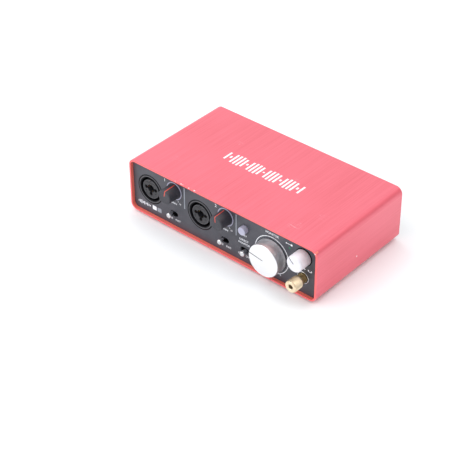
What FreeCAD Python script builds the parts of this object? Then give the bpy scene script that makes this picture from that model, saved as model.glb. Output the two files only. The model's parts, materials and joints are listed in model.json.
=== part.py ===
"""Desktop two-channel audio interface: an extruded aluminium sleeve with an inset panel at each end.

Millimetres. +X is right and +Y is back, seen from the front. The origin is under the middle of
the overall box, on the surface that the rubber feet stand on.
"""
import FreeCAD, Part
import math
import os
import Sketcher
from FreeCAD import Rotation, Vector

doc = FreeCAD.newDocument("audio_interface")

# ---------------------------------------------------------------- driving sizes

CASE = {
    "case_width": 175.0,
    "case_depth": 98.2,
    "case_height": 44.3,
    "wall": 1.4,
    "corner_radius": 5.5,
    "rim_round": 0.35,
    "foot_height": 1.6,
    "foot_radius": 6.0,
    "foot_inset": 13.0,        # foot centre from the side and from the end of the sleeve
}
PANELS = {
    "panel_inset": 2.7,        # panel face behind the sleeve's rim
    "panel_gap": 0.15,         # round the edge of each panel
    "fascia_thick": 1.2,
    "subpanel_thick": 2.0,
    "rear_thick": 2.0,
    "opening_gap": 0.2,        # round a fixed piece in a panel
    "moving_gap": 0.35,        # round a moving piece in a panel
    "screw_radius": 1.0,
    "screw_length": 8.0,
    "screw_head_radius": 1.9,
    "screw_margin": 0.7,       # of panel left round a screw's head
    "port_radius": 2.6,        # screw ports in the sleeve's four corners
    "thread_gap": 0.02,        # round a screw in its port
}
BOARDS = {
    "board_thick": 1.6,
    "board_height": 6.8,       # underside of the main board above the sleeve's underside
    "board_gap": 0.3,
    "rail_width": 2.0,
    "rail_thick": 1.4,
    "control_gap": 6.8,        # between the sub-panel and the control board
}
INPUTS = {
    "jack_ring_radius": 11.8,
    "jack_well_radius": 9.7,   # annular well round the core
    "core_radius": 7.9,
    "core_recess": 0.4,
    "well_depth": 16.0,
    "core_flange": 3.0,
    "jack_depth": 34.0,
    "jack_end_wall": 1.0,
    "jack_half_width": 12.5,
    "plug_bore": 3.25,         # takes a 6.35 mm plug
    "plug_bore_rise": 0.5,
    "pin_spacing": 4.6,
    "pin_lobe": 1.5,
    "lobe_depth": 3.0,
    "pin_socket": 1.3,
    "pin_bore": 1.0,
    "latch_half_width": 5.2,
    "latch_low": 8.0,
    "latch_high": 11.9,
    "latch_depth": 8.0,
}
KNOBS = {
    "knob_lift": 0.5,
    "gain_base_radius": 6.0,
    "gain_front_radius": 5.7,
    "gain_height": 10.7,
    "gain_round": 0.9,
    "pointer_width": 0.65,
    "pointer_depth": 0.6,
    "pointer_start": 1.2,      # from the knob's axis
    "halo_radius": 6.95,
    "halo_width": 0.7,
    "halo_gap_angle": 30.0,
    "monitor_radius": 13.0,
    "monitor_height": 9.7,
    "monitor_edge": 0.3,
    "monitor_taper": 0.2,
    "monitor_wall": 1.6,
    "hub_radius": 5.0,
    "hub_flange": 1.0,
    "phones_knob_radius": 6.3,
    "phones_knob_height": 11.1,
    "phones_knob_round": 1.0,
    "groove_width": 0.5,
    "groove_depth": 0.25,
    "shaft_radius": 3.0,
    "shaft_fit": 0.05,
    "shaft_front": 8.0,        # shaft end in front of the panel
    "shaft_in_pot": 2.8,
    "bushing_radius": 3.5,
    "bushing_front": 1.6,
    "knob_recess_radius": 4.6,
    "knob_recess": 1.7,
    "pot_radius": 4.9,
    "pot_foot": 5.5,           # terminals' base below the shaft's axis
}
SWITCHES = {
    "lever_reach": 5.3,
    "lever_neck_radius": 1.8,
    "lever_tip_radius": 2.15,
    "lever_throw": 2.8,
    "slider_half_width": 3.0,
    "slider_half_height": 2.3,
    "slider_thick": 2.0,
    "slider_gap": 0.4,
    "switch_wall": 0.7,
    "slot_half_width": 3.8,
    "slot_half_height": 2.2,
    "button_radius": 3.2,
    "button_edge": 0.5,
    "button_reach": 3.7,
    "button_tail": 3.6,
    "button_travel": 2.0,
    "plunger_half_width": 1.3,
    "plunger_length": 3.8,
    "button_switch_half_width": 3.5,
}
SOCKETS = {
    "bushing_outer": 4.5,      # threaded bushing of the 6.35 mm sockets
    "bushing_proud": 0.35,
    "socket_half_width": 7.0,
    "socket_over": 6.6,        # socket body above the bore's centre
    "socket_depth": 34.0,
    "rear_socket_depth": 28.0,
    "rear_reach": 1.5,         # rear bushings beyond the sleeve's rim
    "rear_socket_rise": 7.5,   # bore centre above the main board
    "nut_half_width": 5.5,
    "nut_thick": 2.0,
    "usb_width": 12.0,
    "usb_height": 10.9,
    "usb_depth": 16.5,
    "usb_sheet": 0.4,
    "usb_bevel": 1.8,
    "lock_width": 7.0,
    "lock_height": 3.0,
    "lock_plate": 1.5,
}
ADAPTER = {
    "adapter_reach": 11.4,     # barrel's end in front of the sleeve's rim
    "barrel_radius": 4.8,
    "barrel_length": 8.0,
    "collar_radius": 3.9,
    "barrel_edge": 0.4,
    "plug_fit": 0.075,         # between a plug and its bore
    "plug_length": 30.5,
    "seat_gap": 0.1,
    "phones_bore": 1.8,        # takes a 3.5 mm plug
    "phones_bore_depth": 16.0,
    "plug_sleeve_length": 19.5,
    "plug_ring_length": 2.6,
    "insulator_length": 0.9,
    "plug_core_radius": 2.3,
    "plug_pin_radius": 1.0,
    "tip_waist": 2.1,
}
PLACES_ON_PANEL = {
    # the outermost columns, from the sides of the sleeve's opening
    "input_margin": 17.1,
    "phones_margin": 11.9,
    # the others, as shares of the way from the first input to the headphone column
    "channel_share": 0.3429,
    "gain_share": 0.1666,
    "switch_share": 0.1622,
    "phantom_share": 0.6331,
    "monitor_share": 0.8056,
    "usb_light_share": 0.9138,
    # heights
    "top_row_drop": 10.55,      # gain knobs' centres below the opening's upper edge
    "switch_rise": 10.55,       # switches' centres above the opening's lower edge
    "input_over_middle": 0.9,
    "monitor_under_middle": 1.8,
    "phantom_drop": 12.6,
    "phones_socket_share": 0.322,
    "usb_light_drop": 9.1,
    "light_radius": 0.8,
    # pointers' angles at rest, clockwise from straight up
    "gain_turn_first": 10.0,
    "gain_turn_second": -6.0,
    "monitor_turn": -81.0,
    "phones_turn": -46.0,
}
REAR_PLACES = {
    "output_share": -0.36,     # shares of the case's width from its middle
    "output_pitch": 26.0,
    "usb_share": 0.26,
    "lock_share": 0.41,
}

# Sizes that follow from the driving ones.
PLACES = {
    "front_y": "(sizes.adapter_reach - sizes.case_depth - sizes.rear_reach) / 2",
    "rear_y": "front_y + sizes.case_depth",
    "base_z": "sizes.foot_height",
    "top_z": "base_z + sizes.case_height",
    "middle_z": "(base_z + top_z) / 2",
    "opening_low": "base_z + sizes.wall",
    "opening_high": "top_z - sizes.wall",
    "opening_half": "sizes.case_width / 2 - sizes.wall",
    "panel_y": "front_y + sizes.panel_inset",
    "subpanel_y": "panel_y + sizes.fascia_thick",
    "inside_y": "subpanel_y + sizes.subpanel_thick",
    "control_y": "inside_y + sizes.control_gap",
    "control_back": "control_y + sizes.board_thick",
    "rear_face": "rear_y - sizes.panel_inset",
    "rear_inside": "rear_face - sizes.rear_thick",
    "port_inset": "sizes.panel_gap + sizes.screw_margin + sizes.screw_head_radius",
    "port_x": "opening_half - port_inset",
    "port_low": "opening_low + port_inset",
    "port_high": "opening_high - port_inset",
    "board_low": "base_z + sizes.board_height",
    "board_top": "board_low + sizes.board_thick",
    "input_x1": "sizes.input_margin - opening_half",
    "phones_x": "opening_half - sizes.phones_margin",
    "layout": "phones_x - input_x1",
    "input_x2": "input_x1 + sizes.channel_share * layout",
    "gain_x1": "input_x1 + sizes.gain_share * layout",
    "gain_x2": "input_x2 + sizes.gain_share * layout",
    "switch_x1": "input_x1 + sizes.switch_share * layout",
    "switch_x2": "input_x2 + sizes.switch_share * layout",
    "phantom_x": "input_x1 + sizes.phantom_share * layout",
    "monitor_x": "input_x1 + sizes.monitor_share * layout",
    "usb_light_x": "input_x1 + sizes.usb_light_share * layout",
    "input_z": "middle_z + sizes.input_over_middle",
    "gain_z": "opening_high - sizes.top_row_drop",
    "switch_z": "opening_low + sizes.switch_rise",
    "phantom_z": "opening_high - sizes.phantom_drop",
    "monitor_z": "middle_z - sizes.monitor_under_middle",
    "phones_socket_z": "opening_low + (opening_high - opening_low) * sizes.phones_socket_share",
    "usb_light_z": "opening_high - sizes.usb_light_drop",
    "output_x1": "sizes.output_share * sizes.case_width",
    "output_x2": "output_x1 + sizes.output_pitch",
    "rear_socket_z": "board_top + sizes.rear_socket_rise",
    "usb_x": "sizes.usb_share * sizes.case_width",
    "lock_x": "sizes.lock_share * sizes.case_width",
    "panels_thick": "sizes.fascia_thick + sizes.subpanel_thick",
    "barrel_end": "sizes.adapter_reach + sizes.panel_inset",
    "plug_seat": "sizes.bushing_proud + sizes.seat_gap",
    "plug_radius": "sizes.plug_bore - sizes.plug_fit",
}


def make_sheet(name, cells, prefix=""):
    """A spreadsheet with a name in column A and its value, under that alias, in column B."""
    made = doc.addObject("Spreadsheet::Sheet", name)
    for row, (alias, value) in enumerate(cells.items(), 1):
        made.set(f"A{row}", alias)
        made.set(f"B{row}", f"{prefix}{value}")
        made.setAlias(f"B{row}", alias)
    doc.recompute()
    return made


groups = (CASE, PANELS, BOARDS, INPUTS, KNOBS, SWITCHES, SOCKETS, ADAPTER, PLACES_ON_PANEL, REAR_PLACES)
sizes = make_sheet("sizes", {alias: value for group in groups for alias, value in group.items()})
places = make_sheet("places", PLACES, "=")

# ---------------------------------------------------------------- helpers

sub_parts = []


def number(text):
    """The value of a formula on the sheets, now."""
    return float(sizes.evalExpression(text))


def bind(thing, **formulas):
    for name, text in formulas.items():
        thing.setExpression(name, text)


def put(thing, x="0", y="0", z="0"):
    """Bind a piece's place to formulas."""
    for axis, text in zip("xyz", (x, y, z)):
        thing.setExpression(f".Placement.Base.{axis}", text)


def turn(thing, angle):
    """Bind a piece's turn about +Y, clockwise from the front, to a formula in degrees."""
    thing.Placement.Rotation = Rotation(Vector(0, 1, 0), 1.0)
    thing.setExpression(".Placement.Rotation.Angle", angle)


def sub_part(label, thing):
    thing.Label = label
    sub_parts.append(thing)
    return thing


def block(name, x, y, z):
    """A box between low and high formulas on each axis."""
    made = doc.addObject("Part::Box", name)
    sides = [f"({high}) - ({low})" for low, high in (x, y, z)]
    bind(made, Length=sides[0], Width=sides[1], Height=sides[2])
    put(made, x[0], y[0], z[0])
    return made


def rod(name, radius, x, y, z):
    """A cylinder along Y, between the low and high formulas of y."""
    made = doc.addObject("Part::Cylinder", name)
    made.Placement.Rotation = Rotation(Vector(1, 0, 0), -90)
    bind(made, Radius=radius, Height=f"({y[1]}) - ({y[0]})")
    put(made, x, y[0], z)
    return made


def cone(name, radii, x, y, z):
    """A cone along Y, from the first radius at the low end to the second at the high end."""
    made = doc.addObject("Part::Cone", name)
    made.Placement.Rotation = Rotation(Vector(1, 0, 0), -90)
    bind(made, Radius1=radii[0], Radius2=radii[1], Height=f"({y[1]}) - ({y[0]})")
    put(made, x, y[0], z)
    return made


def fuse(name, *pieces):
    made = doc.addObject("Part::MultiFuse", name)
    made.Shapes = list(pieces)
    return made


def group_of(name, pieces):
    """Separate solids of one kind, kept together."""
    made = doc.addObject("Part::Compound", name)
    made.Links = list(pieces)
    return made


def cut(name, base, *tools):
    made = doc.addObject("Part::Cut", name)
    made.Base = base
    made.Tool = tools[0] if len(tools) == 1 else group_of(f"{name}_tools", tools)
    return made


def common(name, base, tool):
    made = doc.addObject("Part::Common", name)
    made.Base = base
    made.Tool = tool
    return made


def body(name):
    return doc.addObject("PartDesign::Body", name)


def sketch(owner, name, role, offset="0"):
    """A sketch on one of the body's own origin planes, moved along the plane's normal."""
    plane = next(feature for feature in owner.Origin.OriginFeatures if feature.Role == role)
    made = owner.newObject("Sketcher::SketchObject", name)
    made.AttachmentSupport = [(plane, "")]
    made.MapMode = "FlatFace"
    made.setExpression("AttachmentOffset.Base.z", offset)
    return made


def pin(sketched, geometry, point, x, y):
    """Hold one sketch point at two formulas, measured from the sketch's origin."""
    for kind, text in (("DistanceX", x), ("DistanceY", y)):
        held = sketched.addConstraint(Sketcher.Constraint(kind, geometry, point, number(text)))
        sketched.setExpression(f"Constraints[{held}]", text)


def polygon(sketched, points):
    """A closed outline through points that are pairs of formulas."""
    spots = [Vector(number(x), number(y), 0) for x, y in points]
    lines = [
        sketched.addGeometry(Part.LineSegment(spot, spots[(index + 1) % len(spots)]), False)
        for index, spot in enumerate(spots)
    ]
    for index, line in enumerate(lines):
        following = lines[(index + 1) % len(lines)]
        sketched.addConstraint(Sketcher.Constraint("Coincident", line, 2, following, 1))
        pin(sketched, line, 1, *points[index])


def rectangle(sketched, x, y):
    polygon(sketched, [(x[0], y[0]), (x[1], y[0]), (x[1], y[1]), (x[0], y[1])])


def circle(sketched, radius, x="0", y="0"):
    spot = Vector(number(x), number(y), 0)
    made = sketched.addGeometry(Part.Circle(spot, Vector(0, 0, 1), number(radius)), False)
    pin(sketched, made, 3, x, y)
    held = sketched.addConstraint(Sketcher.Constraint("Radius", made, number(radius)))
    sketched.setExpression(f"Constraints[{held}]", radius)


def pad(owner, name, profile, length, towards_back=True):
    """Extrude a sketch on the XZ plane, whose normal points to the front."""
    made = owner.newObject("PartDesign::Pad", name)
    made.Profile = profile
    made.Reversed = towards_back
    bind(made, Length=length)
    doc.recompute()
    return made


def pocket(owner, name, profile, depth):
    """Cut a sketch on the XZ plane into what lies behind it."""
    before = owner.Shape.Volume
    made = owner.newObject("PartDesign::Pocket", name)
    made.Profile = profile
    bind(made, Length=depth)
    doc.recompute()
    if owner.Shape.Volume >= before:
        raise RuntimeError(f"{name} removes nothing")
    return made


def revolve(owner, name, points):
    """Turn an outline of (radius, y) formulas about the body's own Y axis."""
    profile = sketch(owner, f"{name}_profile", "XY_Plane")
    polygon(profile, points)
    made = owner.newObject("PartDesign::Revolution", name)
    made.Profile = profile
    made.ReferenceAxis = (profile, ["V_Axis"])
    made.Angle = 360.0
    doc.recompute()
    return made


def dress(owner, kind, name, size, chosen):
    """Fillet or chamfer the edges of the body so far that pass a test."""
    tip = owner.Tip
    names = [f"Edge{index}" for index, edge in enumerate(tip.Shape.Edges, 1) if chosen(edge)]
    if not names:
        raise RuntimeError(f"{name} has no edges")
    made = owner.newObject(f"PartDesign::{kind}", name)
    made.Base = (tip, names)
    bind(made, **{"Radius" if kind == "Fillet" else "Size": size})
    doc.recompute()
    return made


def along_y(edge):
    low, high = edge.firstVertex().Point, edge.lastVertex().Point
    return abs(low.x - high.x) < 1e-6 and abs(low.z - high.z) < 1e-6 and abs(low.y - high.y) > 1e-6


def at_y(*levels):
    """A test for edges that lie flat at one of the given depths."""
    def test(edge):
        box = edge.BoundBox
        return box.YLength < 1e-6 and any(abs(box.YMin - level) < 1e-6 for level in levels)
    return test


def rounded_plate(name, half_width, z, y, radius):
    """A plate in the XZ plane with four rounded corners, as a body."""
    made = body(name)
    outline = sketch(made, f"{name}_outline", "XZ_Plane", f"-({y[0]})")
    rectangle(outline, (f"-({half_width})", half_width), z)
    pad(made, f"{name}_pad", outline, f"({y[1]}) - ({y[0]})")
    dress(made, "Fillet", f"{name}_corners", radius, along_y)
    return made


# ---------------------------------------------------------------- sleeve and feet

def case_sleeve():
    """Extruded tube, with board rails at the sides and a screw port in each corner."""
    tube = rounded_plate("sleeve_tube", "sizes.case_width / 2", ("places.base_z", "places.top_z"),
                         ("places.front_y", "places.rear_y"), "sizes.corner_radius")
    outer_ends = at_y(number("places.front_y"), number("places.rear_y"))
    dress(tube, "Fillet", "sleeve_rim", "sizes.rim_round", outer_ends)
    hollow = rounded_plate("sleeve_hollow", "places.opening_half",
                           ("places.opening_low", "places.opening_high"),
                           ("places.front_y - 1", "places.rear_y + 1"),
                           "sizes.corner_radius - sizes.wall")
    skin = cut("sleeve_skin", tube, hollow)
    inside = ("places.inside_y", "places.rear_inside")
    extras = [skin]
    bores = []
    for side in ("", "-"):
        for level in ("port_low", "port_high"):
            x, z = f"{side}places.port_x", f"places.{level}"
            extras.append(rod("port", "sizes.port_radius", x, inside, z))
            bores.append(rod("port_bore", "sizes.screw_radius + sizes.thread_gap", x, inside, z))
        outer = "places.opening_half + sizes.wall / 2"
        inner = "places.opening_half - sizes.rail_width"
        across = (inner, outer) if side == "" else (f"-({outer})", f"-({inner})")
        under = ("places.board_low - sizes.rail_thick", "places.board_low")
        over = ("places.board_top + sizes.board_gap / 3",
                "places.board_top + sizes.board_gap / 3 + sizes.rail_thick")
        extras.append(block("lower_rail", across, inside, under))
        extras.append(block("upper_rail", across, inside, over))
    sub_part("case_sleeve", cut("case_sleeve", fuse("sleeve_section", *extras), *bores))


def rubber_feet():
    feet = []
    for side in ("", "-"):
        for end in ("places.front_y + sizes.foot_inset", "places.rear_y - sizes.foot_inset"):
            foot = doc.addObject("Part::Cone", "foot")
            bind(foot, Radius1="sizes.foot_radius - 0.6", Radius2="sizes.foot_radius",
                 Height="sizes.foot_height")
            put(foot, f"{side}(sizes.case_width / 2 - sizes.foot_inset)", end, "0")
            feet.append(foot)
    sub_part("rubber_feet", group_of("rubber_feet", feet))


# ---------------------------------------------------------------- front and rear panels

def oblong(name, half_width, half_height, x, y, z):
    """A slot with round ends, long in X, cut through the span y."""
    reach = f"({half_width} - {half_height})"
    ends = [rod(f"{name}_end", half_height, f"{x} + {sign}{reach}", y, z) for sign in ("", "-")]
    middle = block(f"{name}_middle", (f"{x} - {reach}", f"{x} + {reach}"), y,
                   (f"{z} - {half_height}", f"{z} + {half_height}"))
    return fuse(name, middle, *ends)


def halo_ring(name, x, z, y):
    """A C-shaped ring with its gap at the bottom, turned about the knob's axis."""
    made = body(name)
    profile = sketch(made, f"{name}_profile", "XY_Plane")
    rectangle(profile, ("sizes.halo_radius - sizes.halo_width / 2",
                        "sizes.halo_radius + sizes.halo_width / 2"), y)
    ring = made.newObject("PartDesign::Revolution", f"{name}_turned")
    ring.Profile = profile
    ring.ReferenceAxis = (profile, ["V_Axis"])
    bind(ring, Angle="360 - sizes.halo_gap_angle")
    put(made, x, "0", z)
    turn(made, "90 + sizes.halo_gap_angle / 2")
    doc.recompute()
    return made


def front_openings(span):
    """Everything that passes through the fascia and the sub-panel."""
    holes = []
    for x in ("places.input_x1", "places.input_x2"):
        holes.append(rod("input_hole", "sizes.jack_ring_radius + sizes.opening_gap", x, span,
                         "places.input_z"))
    pots = (("gain_x1", "gain_z"), ("gain_x2", "gain_z"), ("monitor_x", "monitor_z"),
            ("phones_x", "gain_z"))
    for x, z in pots:
        holes.append(rod("pot_hole", "sizes.bushing_radius + sizes.opening_gap", f"places.{x}", span,
                         f"places.{z}"))
    for index, x in enumerate(("gain_x1", "gain_x2")):
        holes.append(halo_ring(f"halo_slot_{index + 1}", f"places.{x}", "places.gain_z", span))
    for x in ("switch_x1", "switch_x2", "phantom_x"):
        holes.append(oblong(f"slot_{x}", "sizes.slot_half_width", "sizes.slot_half_height",
                            f"places.{x}", span, "places.switch_z"))
    holes.append(rod("button_hole", "sizes.button_radius + sizes.moving_gap", "places.phantom_x",
                     span, "places.phantom_z"))
    holes.append(rod("phones_hole", "sizes.bushing_outer + sizes.opening_gap / 2",
                     "places.phones_x", span, "places.phones_socket_z"))
    holes.append(rod("light_hole", "sizes.light_radius", "places.usb_light_x", span,
                     "places.usb_light_z"))
    return group_of("front_openings", holes)


def countersunk_screw(name, x, z, face, inward):
    """A screw whose head is flush with face; inward is + for a screw that runs to the back."""
    head_end = f"{face} {inward} (sizes.screw_head_radius - sizes.screw_radius)"
    shank_end = f"{face} {inward} sizes.screw_length"
    wide, narrow = "sizes.screw_head_radius", "sizes.screw_radius"
    if inward == "+":
        head = cone(f"{name}_head", (wide, narrow), x, (face, head_end), z)
        shank = rod(f"{name}_shank", narrow, x, (face, shank_end), z)
        drive = rod(f"{name}_drive", "0.9", x, (face, f"{face} + 1"), z)
    else:
        head = cone(f"{name}_head", (narrow, wide), x, (head_end, face), z)
        shank = rod(f"{name}_shank", narrow, x, (shank_end, face), z)
        drive = rod(f"{name}_drive", "0.9", x, (f"{face} - 1", face), z)
    whole = fuse(f"{name}_whole", head, shank)
    return whole, cut(name, whole, drive)


def corner_screws(label, face, inward):
    """Four screws at the sleeve's ports, and the same shapes undrilled for cutting their holes."""
    blanks, screws = [], []
    for side in ("", "-"):
        for level in ("port_low", "port_high"):
            blank, screw = countersunk_screw(f"{label}_screw", f"{side}places.port_x",
                                             f"places.{level}", face, inward)
            blanks.append(blank)
            screws.append(screw)
    sub_part(label, group_of(label, screws))
    return group_of(f"{label}_holes", blanks)


def panel_plate(name, y):
    gap = "sizes.panel_gap"
    return rounded_plate(name, f"places.opening_half - {gap}",
                         (f"places.opening_low + {gap}", f"places.opening_high - {gap}"), y,
                         "sizes.corner_radius - sizes.wall")


def front_panels():
    openings = front_openings(("places.panel_y", "places.inside_y"))
    fascia = panel_plate("fascia_plate", ("places.panel_y", "places.subpanel_y"))
    sub_part("front_fascia", cut("front_fascia", fascia, openings))
    screw_holes = corner_screws("subpanel_screws", "places.subpanel_y", "+")
    plate = panel_plate("subpanel_plate", ("places.subpanel_y", "places.inside_y"))
    sub_part("front_subpanel", cut("front_subpanel", plate, openings, screw_holes))


def rear_panel():
    span = ("places.rear_inside", "places.rear_face")
    holes = [corner_screws("rear_panel_screws", "places.rear_face", "-")]
    for x in ("places.output_x1", "places.output_x2"):
        holes.append(rod("output_hole", "sizes.bushing_outer", x, span, "places.rear_socket_z"))
    usb_half = "(sizes.usb_width / 2 + sizes.opening_gap)"
    holes.append(block("usb_hole", (f"places.usb_x - {usb_half}", f"places.usb_x + {usb_half}"), span,
                       ("places.board_top", "places.board_top + sizes.usb_height + sizes.opening_gap")))
    holes.append(lock_opening("lock_hole", span))
    plate = panel_plate("rear_plate", span)
    sub_part("rear_panel", cut("rear_panel", plate, *holes))


def lock_opening(name, span):
    return oblong(name, "sizes.lock_width / 2", "sizes.lock_height / 2", "places.lock_x", span,
                  "places.middle_z")


def lock_slot_plate():
    """Steel plate behind the rear panel that carries the security slot."""
    span = ("places.rear_inside - sizes.lock_plate", "places.rear_inside")
    plate = block("lock_plate_blank", ("places.lock_x - 8", "places.lock_x + 8"), span,
                  ("places.middle_z - 5", "places.middle_z + 5"))
    sub_part("lock_slot_plate", cut("lock_slot_plate", plate, lock_opening("lock_plate_slot", span)))


# ---------------------------------------------------------------- combined input jacks

def jack_shell(label, x):
    """Ring flush with the panel, and the housing behind it that stands on the main board."""
    made = body(f"{label}_body")
    front = sketch(made, f"{label}_ring", "XZ_Plane")
    circle(front, "sizes.jack_ring_radius")
    pad(made, f"{label}_ring_pad", front, "places.panels_thick")
    housing = sketch(made, f"{label}_housing", "XZ_Plane", "-places.panels_thick")
    half = "sizes.jack_half_width"
    rectangle(housing, (f"-{half}", half), ("places.board_top - places.input_z", half))
    pad(made, f"{label}_housing_pad", housing, "sizes.jack_depth - places.panels_thick")
    latch = sketch(made, f"{label}_latch", "XZ_Plane")
    rectangle(latch, ("-sizes.latch_half_width", "sizes.latch_half_width"),
              ("sizes.latch_low", "sizes.latch_high"))
    pocket(made, f"{label}_latch_pocket", latch, "sizes.latch_depth")
    well = sketch(made, f"{label}_well", "XZ_Plane")
    circle(well, "sizes.jack_well_radius")
    pocket(made, f"{label}_well_pocket", well, "sizes.well_depth + sizes.core_flange")
    tail = sketch(made, f"{label}_tail", "XZ_Plane")
    circle(tail, "sizes.core_radius")
    pocket(made, f"{label}_tail_pocket", tail, "sizes.jack_depth")
    put(made, x, "places.panel_y", "places.input_z")
    sub_part(label, made)


PIN_SPOTS = (("-sizes.pin_spacing", "sizes.plug_bore_rise"),
             ("sizes.pin_spacing", "sizes.plug_bore_rise"),
             ("0", "sizes.plug_bore_rise - sizes.pin_spacing"))


def jack_core(label, x):
    """Core with a plug bore in the middle and three pin lobes round it."""
    made = body(f"{label}_body")
    radius, flange = "sizes.core_radius", "sizes.jack_well_radius"
    flange_end = "sizes.well_depth + sizes.core_flange"
    revolve(made, f"{label}_turned", [
        ("0", "sizes.core_recess"), (radius, "sizes.core_recess"), (radius, "sizes.well_depth"),
        (flange, "sizes.well_depth"), (flange, flange_end), (radius, flange_end),
        (radius, "sizes.jack_depth"), ("0", "sizes.jack_depth")])
    cuts = [("bore", "0", "sizes.plug_bore_rise", "sizes.plug_bore",
             "sizes.jack_depth - sizes.jack_end_wall")]
    for index, (across, up) in enumerate(PIN_SPOTS):
        cuts.append((f"lobe_{index}", across, up, "sizes.pin_lobe", "sizes.lobe_depth"))
        cuts.append((f"socket_{index}", across, up, "sizes.pin_socket", "sizes.well_depth"))
    for side in ("-", ""):
        cuts.append((f"dimple{side}", f"{side}4.9", "-2.6", "0.45", "sizes.core_recess + 0.5"))
    for name, across, up, size, depth in cuts:
        hole = sketch(made, f"{label}_{name}", "XZ_Plane")
        circle(hole, size, across, up)
        pocket(made, f"{label}_{name}_pocket", hole, depth)
    for name, half_width, low, high, depth in (("key", "1.2", "6.6", "8.5", "2.5"),
                                               ("line", "5", "5.1", "5.35", "0.2")):
        notch = sketch(made, f"{label}_{name}", "XZ_Plane")
        rectangle(notch, (f"-{half_width}", half_width), (low, high))
        pocket(made, f"{label}_{name}_pocket", notch, f"sizes.core_recess + {depth}")
    put(made, x, "places.panel_y", "places.input_z")
    sub_part(label, made)


def jack_contacts(label, x):
    """Three tube sockets for the pins, each ending where the core's holes end."""
    tubes = []
    for across, up in PIN_SPOTS:
        centre, height = f"{x} + ({across})", f"places.input_z + {up}"
        span = ("places.panel_y + sizes.lobe_depth", "places.panel_y + sizes.well_depth")
        outer = rod("pin_tube", "sizes.pin_socket", centre, span, height)
        inner = rod("pin_tube_bore", "sizes.pin_bore", centre, (span[0], f"{span[1]} - 1"), height)
        tubes.append(cut("pin_tube_open", outer, inner))
    sub_part(label, group_of(label, tubes))


# ---------------------------------------------------------------- knobs and potentiometers

def knob_blank(name, base, front, height, rounding):
    """Turned knob with a recess over the bushing and a blind bore for the shaft."""
    made = body(name)
    lift, recess_end = "-sizes.knob_lift", "-sizes.knob_lift - sizes.knob_recess"
    revolve(made, f"{name}_turned", [
        ("sizes.knob_recess_radius", lift), (base, lift), (front, f"-({height})"),
        ("0", f"-({height})"), ("0", "-sizes.shaft_front"), ("sizes.shaft_radius", "-sizes.shaft_front"),
        ("sizes.shaft_radius", recess_end), ("sizes.knob_recess_radius", recess_end)])
    dress(made, "Fillet", f"{name}_edge", rounding, at_y(-number(height)))
    return made


def gain_knob(label, x, angle):
    """Soft-touch knob with an inlaid pointer down its side and across its face."""
    half = "sizes.pointer_width / 2"
    height = "sizes.gain_height"
    pieces = {}
    for use in ("knob", "pointer"):
        blank = knob_blank(f"{label}_{use}_blank", "sizes.gain_base_radius",
                           "sizes.gain_front_radius", height, "sizes.gain_round")
        side = block(f"{label}_{use}_side", (f"-{half}", half), (f"-{height} - 1", "0"),
                     ("sizes.gain_front_radius - sizes.pointer_depth", "sizes.gain_base_radius + 1"))
        face = block(f"{label}_{use}_face", (f"-{half}", half),
                     (f"-{height} - 1", f"-{height} + sizes.pointer_depth"),
                     ("sizes.pointer_start", "sizes.gain_base_radius + 1"))
        strip = fuse(f"{label}_{use}_strip", side, face)
        pieces[use] = (blank, strip)
    knob = cut(label, *pieces["knob"])
    pointer = common(f"{label}_pointer", *pieces["pointer"])
    for name, made in ((label, knob), (f"{label}_pointer", pointer)):
        put(made, x, "places.panel_y", "places.gain_z")
        turn(made, angle)
        sub_part(name, made)


def grooved_face(made, name, reach, height):
    """Cut the pointer groove into a knob's front face, from near its middle out past its rim."""
    groove = sketch(made, f"{name}_groove", "XZ_Plane", height)
    half = "sizes.groove_width / 2"
    rectangle(groove, (f"-{half}", half), ("0.4", f"{reach} + 1"))
    pocket(made, f"{name}_groove_pocket", groove, "sizes.groove_depth")


def monitor_knob():
    """Turned aluminium cap over a moulded hub that grips the shaft."""
    cap = body("monitor_cap")
    base = "sizes.monitor_radius"
    front = "sizes.monitor_radius - sizes.monitor_taper"
    inner = "sizes.monitor_radius - sizes.monitor_wall"
    lift, height = "-sizes.knob_lift", "sizes.monitor_height"
    ceiling = "-sizes.monitor_height + sizes.monitor_wall"
    revolve(cap, "monitor_cap_turned", [
        (inner, lift), (base, lift), (front, f"-{height}"), ("0", f"-{height}"), ("0", ceiling),
        (inner, ceiling)])
    dress(cap, "Chamfer", "monitor_cap_edge", "sizes.monitor_edge", at_y(-number(height)))
    grooved_face(cap, "monitor_cap", base, height)
    hub = body("monitor_hub")
    flange_end = f"{ceiling} + sizes.hub_flange"
    hub_end = "-sizes.bushing_front - sizes.slider_gap"
    revolve(hub, "monitor_hub_turned", [
        ("0", ceiling), (inner, ceiling), (inner, flange_end), ("sizes.hub_radius", flange_end),
        ("sizes.hub_radius", hub_end), ("sizes.shaft_radius", hub_end),
        ("sizes.shaft_radius", "-sizes.shaft_front + sizes.hub_flange"),
        ("0", "-sizes.shaft_front + sizes.hub_flange")])
    for name, made in (("monitor_knob", cap), ("monitor_knob_hub", hub)):
        put(made, "places.monitor_x", "places.panel_y", "places.monitor_z")
        turn(made, "sizes.monitor_turn")
        sub_part(name, made)


def headphone_knob():
    height = "sizes.phones_knob_height"
    made = knob_blank("headphone_knob_body", "sizes.phones_knob_radius", "sizes.phones_knob_radius",
                      height, "sizes.phones_knob_round")
    grooved_face(made, "headphone_knob", "sizes.phones_knob_radius", height)
    put(made, "places.phones_x", "places.panel_y", "places.gain_z")
    turn(made, "sizes.phones_turn")
    sub_part("headphone_knob", made)


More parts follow.
